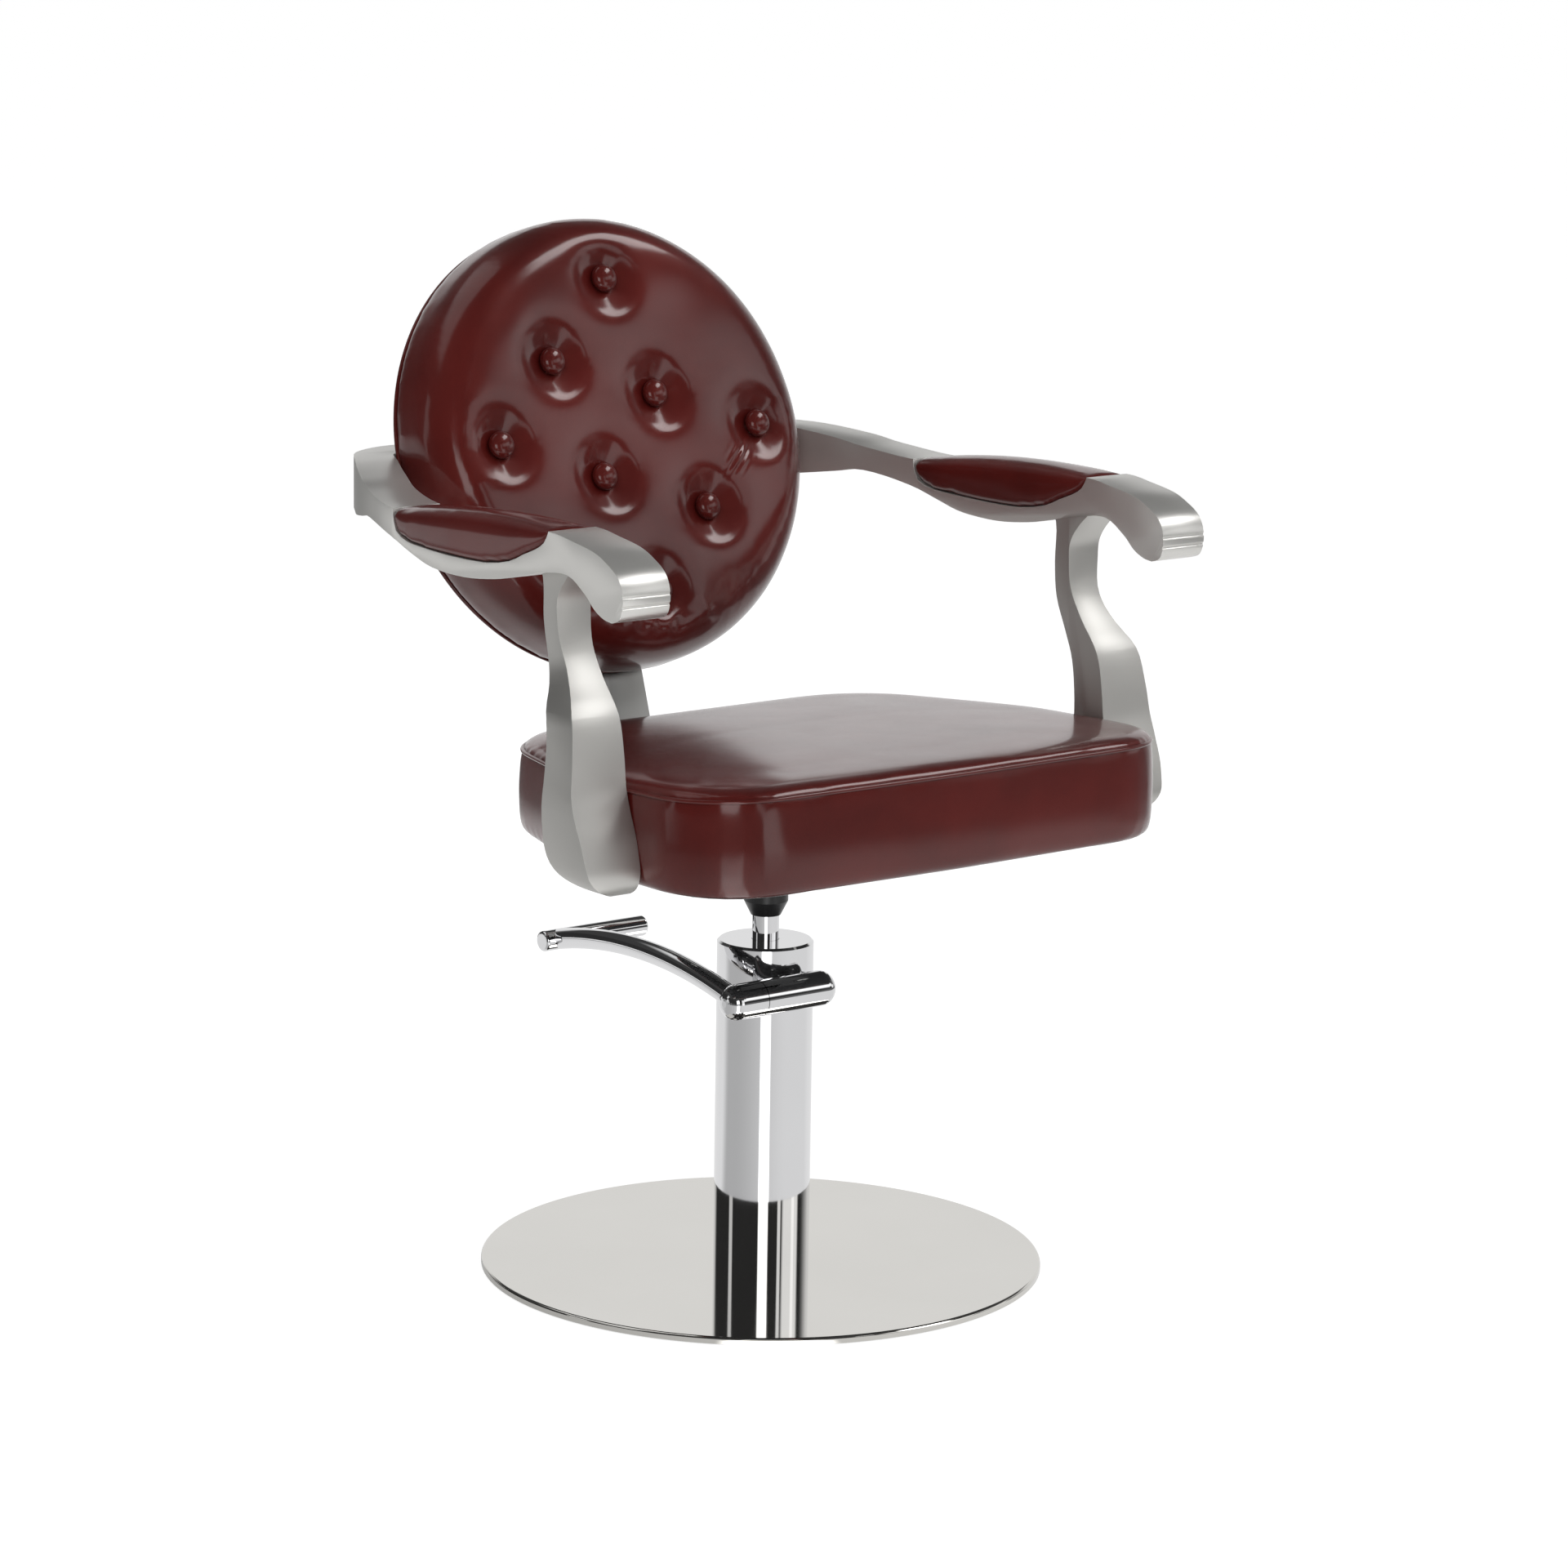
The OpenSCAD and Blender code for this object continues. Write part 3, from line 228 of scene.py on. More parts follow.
# %% Directions of the room
def around(sheet, vector):
    """Angle round the chair in degrees, 0 towards the camera and positive to its right."""
    flat = sheet.node("ShaderNodeMapping", Vector=vector, Rotation=(0, 0, -view_side))
    parts = sheet.tree.nodes.new("ShaderNodeSeparateXYZ")
    sheet.tree.links.new(flat.socket, parts.inputs[0])
    right = Signal(sheet.tree, parts.outputs[0])
    back = Signal(sheet.tree, parts.outputs[1])
    up = Signal(sheet.tree, parts.outputs[2])
    return right.maths("ARCTAN2", 0.0 - back) * math.degrees(1), up


def strip(angle, middle, half_width):
    """1 inside an upright strip of light, 0 outside, with a soft edge."""
    return 1 - abs(angle - middle).ramp(half_width * 0.7, half_width)


print("room directions ready")

# %% World
world = bpy.data.worlds.new("studio")
bpy.context.scene.world = world
world.use_nodes = True
room = Sheet(world.node_tree)
room.tree.nodes.clear()
angle, up = around(room, room.node("ShaderNodeTexCoord", "Generated"))
pale = 0.86
even_light = 0.62
wall = (0.0 - angle).ramp(134, 156) + angle.ramp(105, 150)
strip_lights = ((2.6, 4, 13), (0.75, -79, 6), (1.0, 43, 4.5), (0.35, 81, 5))
strips = sum(light * strip(angle, middle, half) for light, middle, half in strip_lights)
sheen = strip(angle, 74, 26) * up.ramp(0.14, 0.24) * 1.1
low = 0.03 + strips * (1 - up.ramp(0.34, 0.4)) + sheen
low = low * (1 - wall) + pale * wall
low = low + 0.9 * strip(angle, 104, 16) * (1 - up.ramp(0.16, 0.24))
high = up.ramp(0.36, 0.44)
softbox = 6.0 * strip(angle, 94, 24) * up.ramp(0.58, 0.63) * (1 - up.ramp(0.77, 0.81))
softbox = softbox + 0.8 * strip(angle, -105, 50) * up.ramp(0.62, 0.75)
seen = low * (1 - high) + (0.05 + softbox) * high
path = room.tree.nodes.new("ShaderNodeLightPath")
to_camera = Signal(room.tree, path.outputs["Is Camera Ray"])
to_mirror = Signal(room.tree, path.outputs["Is Glossy Ray"]).maths(
    "MAXIMUM", Signal(room.tree, path.outputs["Is Transmission Ray"]))
level = even_light * (1 - to_mirror) + seen * to_mirror
level = level * (1 - to_camera) + to_camera
output = room.tree.nodes.new("ShaderNodeOutputWorld")
glow = room.node("ShaderNodeBackground", Color=(1.0, 1.0, 1.0), Strength=level)
room.tree.links.new(glow.socket, output.inputs["Surface"])
print("world ready, strip lights:", len(strip_lights))

# %% [markdown]
# The floor is a wide disc. The camera sees it as white, and darker only where the chair takes
# light from it. Mirrors see other values. Close to the chair it is mid grey, with a bright band
# towards the camera. Further off it is mostly dark, so that the leather keeps its red, with a
# pale patch on the left and a bright band on the right. Behind the chair it is pale like the wall.

# %% Floor
floor_radius = 90
bpy.ops.object.select_all(action="DESELECT")
bpy.ops.mesh.primitive_circle_add(vertices=96, radius=floor_radius, fill_type="NGON")
floor = bpy.context.object
floor.name = "floor"
floor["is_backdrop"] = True
print("floor radius:", floor_radius, "m")

# %% What mirrors see of the floor
ground = Finish("floor_white", Base_Color=(0.9, 0.9, 0.9), Roughness=0.9)
ground.set(Specular_IOR_Level=0.0)
spot = ground.node("ShaderNodeTexCoord", "Object")
angle, _ = around(ground, spot)
away = ground.node("ShaderNodeVectorMath", "Value", {"operation": "LENGTH"}, Vector=spot)
near = 1 - away.ramp(1.9, 2.5)
behind = (0.0 - angle).ramp(88, 112) + angle.ramp(112, 130)
close = 0.5 + 0.3 * angle.ramp(-70, 60) + 2.0 * strip(angle, 4, 13)
close = close * (1 - behind) + pale * behind
left = (0.0 - angle).ramp(50, 95) * away.ramp(2.5, 3.6)
far_behind = (0.0 - angle).ramp(158, 172) + angle.ramp(125, 150)
far = 0.12 + 0.72 * left * (1 - (0.0 - angle).ramp(120, 135)) + 1.3 * strip(angle, 52, 11)
far = far * (1 - far_behind) + pale * far_behind
shine = close * near + far * (1 - near)
print("floor shine ready")

# %% What each ray sees of the floor
own_light = 0.69
path = ground.tree.nodes.new("ShaderNodeLightPath")
to_camera = Signal(ground.tree, path.outputs["Is Camera Ray"])
to_mirror = Signal(ground.tree, path.outputs["Is Glossy Ray"])
seen = ground.node("ShaderNodeEmission", Color=(1.0, 1.0, 1.0), Strength=shine)
lift = ground.node("ShaderNodeEmission", Color=(1.0, 1.0, 1.0), Strength=own_light)
soft = ground.node("ShaderNodeBsdfDiffuse", Color=(0.5, 0.5, 0.5))
white = ground.tree.nodes.new("ShaderNodeAddShader")
for place, item in zip(white.inputs, (lift, soft)):
    ground.tree.links.new(item.socket, place)
bounce = Signal(ground.tree, ground.shader.outputs[0])
for share, other in ((to_mirror, seen), (to_camera, Signal(ground.tree, white.outputs[0]))):
    blend = ground.tree.nodes.new("ShaderNodeMixShader")
    for place, item in zip(blend.inputs, (share, bounce, other)):
        ground.tree.links.new(item.socket, place)
    bounce = Signal(ground.tree, blend.outputs[0])
ground.tree.links.new(bounce.socket, ground.tree.nodes["Material Output"].inputs["Surface"])
floor.data.materials.append(ground.material)
print("floor ready")

# %% [markdown]
# Three soft lamps give form and shadow. They stay modest, so that each colour renders about as it
# is written, and they leave no mirror image, because the drawn room already holds the lights.

# %% Lamps
def soft_lamp(name, place, aim, size, power):
    """A rectangular soft light that looks at a point and leaves no mirror image."""
    data = bpy.data.lights.new(name, "AREA")
    data.shape = "RECTANGLE"
    data.size, data.size_y = size
    data.energy = power
    lamp = bpy.data.objects.new(name, data)
    bpy.context.collection.objects.link(lamp)
    lamp.visible_glossy = False
    turn = (Vector(aim) - Vector(place)).to_track_quat("-Z", "Y")
    lamp.matrix_world = Matrix.Translation(place) @ turn.to_matrix().to_4x4()
    print("lamp", name, power, "W")


soft_lamp("key", (-3.3, -3.2, 3.3), (0, 0, 0.7), (1.0, 1.0), 66)
soft_lamp("fill", (0.5, -4.0, 3.9), (0, 0, 0.7), (0.8, 0.8), 60)
soft_lamp("rim", (0.4, 3.4, 3.0), (0, 0, 0.8), (2.2, 1.2), 22)
bpy.context.scene.view_settings.view_transform = "Standard"

# %% [markdown]
# ## Metals
# Three finishes do most of the work here. Chrome is almost a mirror, so only faint smudges
# change its roughness. The polished disc has very fine turning rings, which show as a slow
# change of roughness from the middle out. The arms are brushed along their length: a noise
# that is stretched along Y gives the fine lines, both in the roughness and in the bump. The
# uprights are of the same alloy with a duller skin, whose grain runs up and down, and their
# base colour is painted darker than the arms' to stand in for shade.

# %% Chrome, disc and brushed arms
def metal(name, color, rough, spread, scale, depth=0.0, stretch=(1, 1, 1), pure=1.0):
    """Metal whose roughness wanders by spread, with a fine grain of that depth."""
    finish = Finish(name, Base_Color=color, Metallic=pure)
    slow = finish.noise(9.0, detail=4.0)
    grain = finish.noise(scale, detail=2.0, stretch=stretch)
    finish.set(Roughness=rough + spread * slow + spread * 0.5 * grain)
    shade = tuple(c * 0.9 for c in color)
    finish.set(Base_Color=finish.mix(slow * 0.6, color, shade))
    if depth:
        finish.set(Normal=finish.bump(grain, 0.35, depth))
    return finish


chrome = metal("chrome", (0.80, 0.80, 0.81), 0.025, 0.03, 60)
brushed = metal(
    "satin_alloy", (0.80, 0.79, 0.76), 0.32, 0.05, 1400, 0.000012, stretch=(1, 0.03, 1),
    pure=0.82)
# Painted shade: the uprights' base colour is darkened below the arms' alloy.
shaded_post_alloy = metal(
    "post_alloy_painted_shade", (0.63, 0.62, 0.595), 0.42, 0.06, 900, 0.00002, stretch=(1, 1, 0.04),
    pure=0.92)
plate_steel = metal(
    "satin_steel", (0.40, 0.40, 0.39), 0.30, 0.05, 1400, 0.000012, stretch=(1, 0.05, 0.05))
machined = metal("machined_steel", (0.55, 0.55, 0.56), 0.24, 0.12, 500, 0.00003)
zinc = metal("zinc", (0.62, 0.62, 0.60), 0.32, 0.14, 260)
bronze = metal("bronze", (0.55, 0.39, 0.19), 0.28, 0.14, 180)

disc = Finish("base_steel", Base_Color=(0.72, 0.705, 0.67), Metallic=1.0)
spot = disc.node("ShaderNodeTexCoord", "Object")
radius = disc.node("ShaderNodeVectorMath", "Value", {"operation": "LENGTH"}, Vector=spot)
rings = disc.node(
    "ShaderNodeTexNoise", "Fac", {"noise_dimensions": "1D"}, W=radius, Scale=420.0, Detail=3.0)
cloud = disc.noise(5.0, detail=4.0)
disc.set(Roughness=0.03 + 0.03 * cloud + 0.015 * rings)
disc.set(Base_Color=disc.mix(cloud, (0.74, 0.725, 0.69), (0.68, 0.665, 0.63)))
print("metals ready")

# %% [markdown]
# ## Leather
# Upholstery leather is dyed nearly one colour, so its look comes from its surface: a net of
# tiny pores, slow clouds of darker dye, and a lacquer that is a little duller where hands and
# backs rub. The pores are cells of a Voronoi pattern, less than a millimetre across. The
# lacquer is the shader's own coat.

# %% Leather
def leather(name, light, dark, rough, grain=1.0):
    """Lacquered leather: a pore net, slow dye clouds and rubbed patches."""
    finish = Finish(name, Coat_Weight=0.9, Coat_Roughness=0.14, Coat_IOR=1.5)
    finish.set(Specular_Tint=(1.0, 0.32, 0.27), Specular_IOR_Level=0.3)
    where = finish.node("ShaderNodeTexCoord", "Object")
    bent = finish.node("ShaderNodeTexNoise", "Color", Vector=where, Scale=180.0, Detail=1.0)
    bent = finish.node(
        "ShaderNodeVectorMath", 0, {"operation": "SCALE"}, Vector=bent, Scale=0.0012)
    moved = finish.tree.nodes.new("ShaderNodeVectorMath")
    moved.operation = "ADD"
    for place, item in zip(moved.inputs, (where, bent)):
        plug(finish.tree, item, place)
    moved = Signal(finish.tree, moved.outputs[0])
    pores = finish.node(
        "ShaderNodeTexVoronoi", "Distance", {"feature": "DISTANCE_TO_EDGE"},
        Vector=moved, Scale=850.0)
    net = pores.ramp(0.02, 0.22)
    clouds = finish.noise(7.0, detail=5.0)
    rubbed = finish.noise(22.0, detail=3.0)
    finish.set(Base_Color=finish.mix(clouds.ramp(0.3, 0.75) * 0.8 + (1 - net) * 0.2, light, dark))
    finish.set(Roughness=rough + 0.14 * rubbed + 0.06 * (1 - net))
    height = net * 0.7 + finish.noise(60.0, detail=3.0) * 0.9
    finish.set(Normal=finish.bump(height, 0.28 * grain, 0.00022))
    return finish


hide = leather("leather", (0.088, 0.0085, 0.007), (0.046, 0.0044, 0.0038), 0.3)
print("leather ready")

# %% [markdown]
# ## Rubber, castings, paint, wood and cloth
# The parts that are mostly hidden get the same care in a simpler form: each has its own slow
# colour change and its own grain, at the size that the real stuff shows.

# %% Other finishes
def plain(name, light, dark, rough, scale, strength, depth, metallic=0.0):
    """A dull finish with a grain and a slow change of colour."""
    finish = Finish(name, Metallic=metallic)
    grain = finish.noise(scale, detail=4.0)
    cloud = finish.noise(14.0, detail=4.0)
    finish.set(Base_Color=finish.mix(cloud, light, dark))
    finish.set(Roughness=rough + 0.15 * grain)
    finish.set(Normal=finish.bump(grain, strength, depth))
    return finish


rubber = plain("rubber", (0.035, 0.035, 0.035), (0.02, 0.02, 0.02), 0.62, 700, 0.3, 0.0001)
casting = plain("cast_iron", (0.17, 0.17, 0.18), (0.1, 0.1, 0.1), 0.5, 420, 0.6, 0.0003, 0.6)
oxide = plain("black_oxide", (0.05, 0.05, 0.052), (0.03, 0.03, 0.03), 0.34, 500, 0.2, 0.00005, 0.8)
paint = plain("black_paint", (0.022, 0.022, 0.023), (0.014, 0.014, 0.014), 0.24, 600, 0.3, 0.00008)

ply = Finish("plywood")
veneer = ply.node("ShaderNodeTexWave", "Fac", {"bands_direction": "Z"},
                  Vector=ply.place(), Scale=330.0, Distortion=0.6, Detail=2.0)
fibre = ply.noise(90.0, detail=4.0, stretch=(1, 12, 1))
ply.set(Base_Color=ply.mix(veneer * 0.5 + fibre * 0.5, (0.66, 0.49, 0.29), (0.42, 0.27, 0.14)))
ply.set(Roughness=0.5 + 0.2 * fibre)
ply.set(Normal=ply.bump(fibre, 0.4, 0.0002))

cloth = Finish("black_cloth", Roughness=0.9)
weave = [cloth.node("ShaderNodeTexWave", "Fac", {"bands_direction": axis},
                    Vector=cloth.place(), Scale=480.0) for axis in "XY"]
cloth.set(Base_Color=cloth.mix(weave[0] * weave[1], (0.012, 0.012, 0.013), (0.04, 0.04, 0.042)))
cloth.set(Normal=cloth.bump(weave[0] + weave[1], 0.5, 0.0003))

finishes = {
    "rubber": rubber, "cast_iron": casting, "base_steel": disc, "chrome": chrome,
    "black_oxide": oxide, "machined_steel": machined, "bronze": bronze, "black_paint": paint,
    "zinc": zinc, "plywood": ply, "black_cloth": cloth, "leather": hide,
    "satin_alloy": brushed, "satin_steel": plate_steel}

# %% Give each part its finish
slots = {part["node"]: part["material_slot"] for part in frame["record"]["subparts"]}
for name, part in nodes.items():
    for place in part.material_slots:
        place.material = finishes[slots[name]].material
print("finished parts:", len(slots))

# %% [markdown]
# ## Arms, uprights and bar
# The castings keep the designed shape, but a ground edge on the real part is never quite
# sharp: it carries a thin line of light. Each part's mesh is copied, its loose triangles are
# merged, faces that lie in one plane are joined again, and a small bevel rounds the edges.
# All sizes from here on are in metres.

# %% Helpers for pieces
def only(piece):
    """Select one piece and make it active."""
    bpy.ops.object.select_all(action="DESELECT")
    piece.select_set(True)
    bpy.context.view_layer.objects.active = piece


def copy_of(node, name):
    """A merged copy of a part's mesh, as an object of its own."""
    piece = bpy.data.objects.new(name, nodes[node].data.copy())
    bpy.context.collection.objects.link(piece)
    only(piece)
    bpy.ops.mesh.customdata_custom_splitnormals_clear()
    bpy.ops.object.mode_set(mode="EDIT")
    bpy.ops.mesh.select_all(action="SELECT")
    bpy.ops.mesh.remove_doubles(threshold=0.00002)
    bpy.ops.object.mode_set(mode="OBJECT")
    return piece


def apply(piece, kind, **settings):
    """Add a modifier, set it and apply it."""
    only(piece)
    modifier = piece.modifiers.new(kind.lower(), kind)
    for name, value in settings.items():
        setattr(modifier, name, value)
    bpy.ops.object.modifier_apply(modifier=modifier.name)


def wear(piece, finish, body):
    """Give a piece its finish and put it on a body."""
    piece.data.materials.clear()
    piece.data.materials.append(finish.material)
    for polygon in piece.data.polygons:
        polygon.material_index = 0
    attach(piece, body)


print("piece helpers ready")

# %% Eased edges
def eased(node, name, width, finish):
    """The part's own shape with its edges rounded by width and its curves smooth."""
    piece = copy_of(node, name)
    bpy.ops.object.mode_set(mode="EDIT")
    bpy.ops.mesh.select_all(action="SELECT")
    bpy.ops.mesh.dissolve_limited(angle_limit=math.radians(1.0))
    bpy.ops.object.mode_set(mode="OBJECT")
    apply(piece, "BEVEL", width=width, segments=3, limit_method="ANGLE",
          angle_limit=math.radians(38), harden_normals=False, use_clamp_overlap=True)
    only(piece)
    bpy.ops.object.shade_smooth_by_angle(angle=math.radians(32))
    wear(piece, finish, "seat")
    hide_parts(node)
    print(name, len(piece.data.polygons), "faces")
    return piece


for side in ("left", "right"):
    eased("arm_" + side, "armrest_" + side, 0.0012, brushed)
    eased("upright_" + side, "arm_post_" + side, 0.0016, shaded_post_alloy)
eased("back_bar", "back_strap", 0.0012, plate_steel)

# %% [markdown]
# ## Upholstery
# A cushion is foam under tension: its top crowns, its sides swell between the seams, and a
# button pulls the cover down into a dimple. The designed solid has the right outline. Its
# mesh is remeshed to an even grid of a few millimetres, cloth under pressure then lets it
# swell where nothing holds it, and the seams and buttons are held still. The swell is capped,
# so that the cushion stays clear of the arms, and then smoothed a little.

# %% Even grid and soft edges
def even_grid(piece, size, smooth):
    """Remesh to even faces and take off the stairs."""
    apply(piece, "REMESH", mode="VOXEL", voxel_size=size, use_smooth_shade=True)
    apply(piece, "SMOOTH", factor=0.5, iterations=smooth)


def round_off(piece, share, rounds):
    """Soften a piece where share tells so, from 0 to 1."""
    group = piece.vertex_groups.new(name="soft")
    for vertex in piece.data.vertices:
        part = share(vertex.co)
        if part > 0:
            group.add([vertex.index], part, "REPLACE")
    apply(piece, "SMOOTH", factor=0.5, iterations=rounds, vertex_group="soft")
    piece.vertex_groups.clear()


print("grid helpers ready")

# %% Swell under pressure
scene = bpy.context.scene
last_frame = 20


def swell(piece, held, pressure, cap):
    """Let the cover swell; held tells of a point how firmly it is held, from 0 to 1."""
    mesh = piece.data
    start = [v.co.copy() for v in mesh.vertices]
    group = piece.vertex_groups.new(name="held")
    for vertex in mesh.vertices:
        firm = held(vertex.co)
        if firm > 0:
            group.add([vertex.index], firm, "REPLACE")
    only(piece)
    cloth = piece.modifiers.new("swell", "CLOTH")
    cloth.settings.vertex_group_mass = group.name
    cloth.settings.use_pressure = True
    cloth.settings.uniform_pressure_force = pressure
    cloth.settings.tension_stiffness = 18
    cloth.settings.compression_stiffness = 18
    cloth.settings.bending_stiffness = 1.0
    cloth.settings.effector_weights.gravity = 0
    cloth.point_cache.frame_start = 1
    cloth.point_cache.frame_end = last_frame
    for step in range(1, last_frame + 1):
        scene.frame_set(step)
    bpy.ops.object.modifier_apply(modifier=cloth.name)
    moved = 0.0
    for vertex, old in zip(mesh.vertices, start):
        way = vertex.co - old
        if way.length > cap:
            vertex.co = old + way * (cap / way.length)
        moved = max(moved, min(way.length, cap))
    piece.vertex_groups.clear()
    scene.frame_set(1)
    print(piece.name, "swelled by up to", round(moved * 1000, 1), "mm")


print("swell ready, frames:", last_frame)


# %% Leather over a cushion
def finish_cushion(piece, node):
    """One more subdivision, leather, and its place on the seat's body."""
    apply(piece, "SUBSURF", levels=1, render_levels=1)
    only(piece)
    bpy.ops.object.shade_smooth()
    wear(piece, hide, "seat")
    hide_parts(node)
    print(piece.name, len(piece.data.polygons), "faces")


print("cushion finish ready")

# %% [markdown]
# ## Seat
# The seat's top rises in a soft roll inside its piping. The solid already holds the line of the
# piping, as the corners that lie at its height, so that line is read from the solid, put in order
# round the seat and softened. Everything else on the seat is measured from it.

# %% Line of the seat's seam
seat_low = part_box("seat_cushion")[0]
seam_rise = 0.098
seam_fall = 0.016
seat_front = -0.308
seat_depth = 0.456


def piping_height(y):
    """Height of the seat's piping, which falls towards the back."""
    return seat_low.z + seam_rise - seam_fall * (y - seat_front) / seat_depth


middle_y = -0.08
seam_slack = 0.0004
corners = [v.co for v in nodes["seat_cushion"].data.vertices]
seam = sorted(
    {(round(p.x, 5), round(p.y, 5), round(p.z, 5)) for p in corners
     if abs(p.z - piping_height(p.y)) < seam_slack},
    key=lambda p: math.atan2(p[1] - middle_y, p[0]))
print("seam points:", len(seam))


# %% The seat's seam as an even, soft line
def even_line(points, step, rounds):
    """A closed line of equal steps through the points, softened by a few rounds."""
    closed = [Vector(p) for p in points] + [Vector(points[0])]
    line = []
    rest = 0.0
    for a, b in zip(closed, closed[1:]):
        way = b - a
        while rest < way.length:
            line.append(a + way * (rest / way.length))
            rest += step
        rest -= way.length
    for _ in range(rounds):
        after = line[1:] + line[:1]
        line = [(line[i - 1] + line[i] * 2 + after[i]) / 4 for i in range(len(line))]
    return line


seam_step = 0.005
seat_line = even_line(seam, seam_step, 12)
print("seam length:", round(len(seat_line) * seam_step, 3), "m")

# %% Distances from the seam
seat_middle = Vector((0, middle_y, 0))
seam_tree = kdtree.KDTree(len(seat_line))
for number, point in enumerate(seat_line):
    seam_tree.insert((point.x, point.y, 0.0), number)
seam_tree.balance()


def seat_rim(point):
    """Distance in plan from the seam."""
    return seam_tree.find((point.x, point.y, 0.0))[2]


def inside_seam(point):
    """Whether a point lies nearer the middle of the seat than the seam beside it."""
    beside = seam_tree.find((point.x, point.y, 0.0))[0]
    flat = Vector((point.x, point.y, 0))
    return (flat - seat_middle).length < (beside - seat_middle).length


print("middle of the seat to its seam:", round(seat_rim(seat_middle), 3), "m")

# %% Form and hold of the seat
roll_width = 0.03
roll_rise = 0.010
crown_width = 0.15
crown_rise = 0.002
roll_reach = 0.014
roll_floor = 0.55
underside = 0.012
least_hold = 0.15
seam_half = 0.004
hold_fade = 0.03


def roll_seat(piece):
    """Shape the top: it rises in a soft roll inside the seam, then runs nearly level."""
    rising = [vertex.normal.z > 0.3 for vertex in piece.data.vertices]
    for vertex, up in zip(piece.data.vertices, rising):
        point = vertex.co
        if up and point.z > piping_height(point.y) - roll_reach and inside_seam(point):
            off = seat_rim(point)
            roll = 1 - min(1.0, off / roll_width)
            rise = roll_rise * math.sqrt(1 - roll * roll) + crown_rise * min(1.0, off / crown_width)
            point.z = piping_height(point.y) + 0.001 + rise


def near_seam(point):
    """1 in the middle of the roll, 0 away from it and below."""
    if point.z <= roll_floor:
        return 0.0
    return max(0.0, 1 - abs(seat_rim(point) - roll_width / 2) / roll_width)


def seat_hold(point):
    """The underside and the line of the piping are held, and the cover beside it less."""
    if point.z < seat_low.z + underside:
        return 1.0
    off = math.hypot(point.z - piping_height(point.y), seat_rim(point))
    return max(least_hold, 1 - max(0.0, off - seam_half) / hold_fade)


print("roll rises", roll_rise, "m over", roll_width, "m")

# %% Cushion of the seat
seat = copy_of("seat_cushion", "seat_pad")
even_grid(seat, 0.006, 5)
roll_seat(seat)
round_off(seat, near_seam, 4)
swell(seat, seat_hold, 2.0, 0.003)
round_off(seat, lambda point: 1.0, 3)
round_off(seat, near_seam, 5)
finish_cushion(seat, "seat_cushion")

# %% [markdown]
# Piping is a cord sewn into the seam under its own strip of leather. It is swept along the seam's
# line, a little inside it, so that half of it shows.

# %% Piping
def cord_along(line, radius, name):
    """A round welt that follows a closed line, as a mesh."""
    data = bpy.data.curves.new(name, "CURVE")
    data.dimensions = "3D"
    data.bevel_depth = radius
    data.bevel_resolution = 3
    spline = data.splines.new("POLY")
    spline.points.add(len(line) - 1)
    for place, point in zip(spline.points, line):
        place.co = (*point, 1.0)
    spline.use_cyclic_u = True
    piece = bpy.data.objects.new(name, data)
    bpy.context.collection.objects.link(piece)
    only(piece)
    bpy.ops.object.convert(target="MESH")
    bpy.ops.object.shade_smooth()
    wear(bpy.context.object, hide, "seat")
    print(name, len(bpy.context.object.data.polygons), "faces")
    return bpy.context.object


welt_inset = 0.0026
welt = []
for number, point in enumerate(seat_line):
    along = seat_line[(number + 1) % len(seat_line)] - seat_line[number - 1]
    welt.append(point - Vector((along.y, -along.x, 0)).normalized() * welt_inset)
cord_along(welt, 0.0022, "seat_piping")

# %% [markdown]
# ## Buttoned back
# The back leans by 18 degrees, so it is easiest to think of it lying flat: x across, y up its
# face and z out of its front. One matrix then stands it up. Eight buttons lie in slanting
# rows. Each holds the cover down, and the foam stands up between them. A dimple is steeper below
# and to the right of its button, where the cover is drawn tighter. Short folds run out from a
# button, because there is more leather than the dimple needs, and between two of the buttons
# that extra leather stands in a few fine ridges.

# %% Places on the back
back_place = (0, 0.258, 0.837)
back_turn = math.radians(72)
stand_up = Matrix.Translation(back_place) @ Matrix.Rotation(back_turn, 4, "X")
lay_flat = stand_up.inverted()
button_pitch = 0.118
spacing = button_pitch / math.sqrt(2)
buttons = [
    Vector((spacing * (along + row), spacing * (along - row)))
    for row in (-1, 0, 1) for along in ((-0.5, 0.5) if row == 0 else (-1, 0, 1))]


def nearest_button(flat):
    """Number of the nearest button, the distance to it and the direction from it."""
    ways = [Vector((flat.x, flat.y)) - button for button in buttons]
    number = min(range(len(ways)), key=lambda i: ways[i].length)
    return number, ways[number].length, math.atan2(ways[number].y, ways[number].x)


print("buttons:", len(buttons), "at", button_pitch, "m")


# %% Where the back's cover is held
grip = 0.014
grip_fade = 0.036
rim_start = 0.190
rim_fade = 0.03


def back_hold(point):
    """The rear, the front seam and the buttons are held."""
    flat = lay_flat @ point
    rim = math.hypot(flat.x, flat.y)
    if flat.z < -0.05 or rim < 0.2 and flat.z < -0.03:
        return 1.0
    _, away, _ = nearest_button(flat)
    loose = max(0.0, min(1.0, (away - grip) / grip_fade))
    return 1 - 0.8 * loose * loose * (3 - 2 * loose)


def near_rim(point):
    """1 on the roll between the face and the side, 0 elsewhere."""
    flat = lay_flat @ point
    rim = math.hypot(flat.x, flat.y)
    return max(0.0, min(1.0, (rim - rim_start) / rim_fade)) if flat.z > -0.045 else 0.0


print("middle of the back held by", round(back_hold(stand_up @ Vector((0, 0, 0))), 2))

# %% Form of the back's face
face_radius = 0.226
face_rise = 0.008
crown = 0.016
dimple_radius = 0.038
firm_extra = 0.004
pull = 0.85
edge_width = 0.018


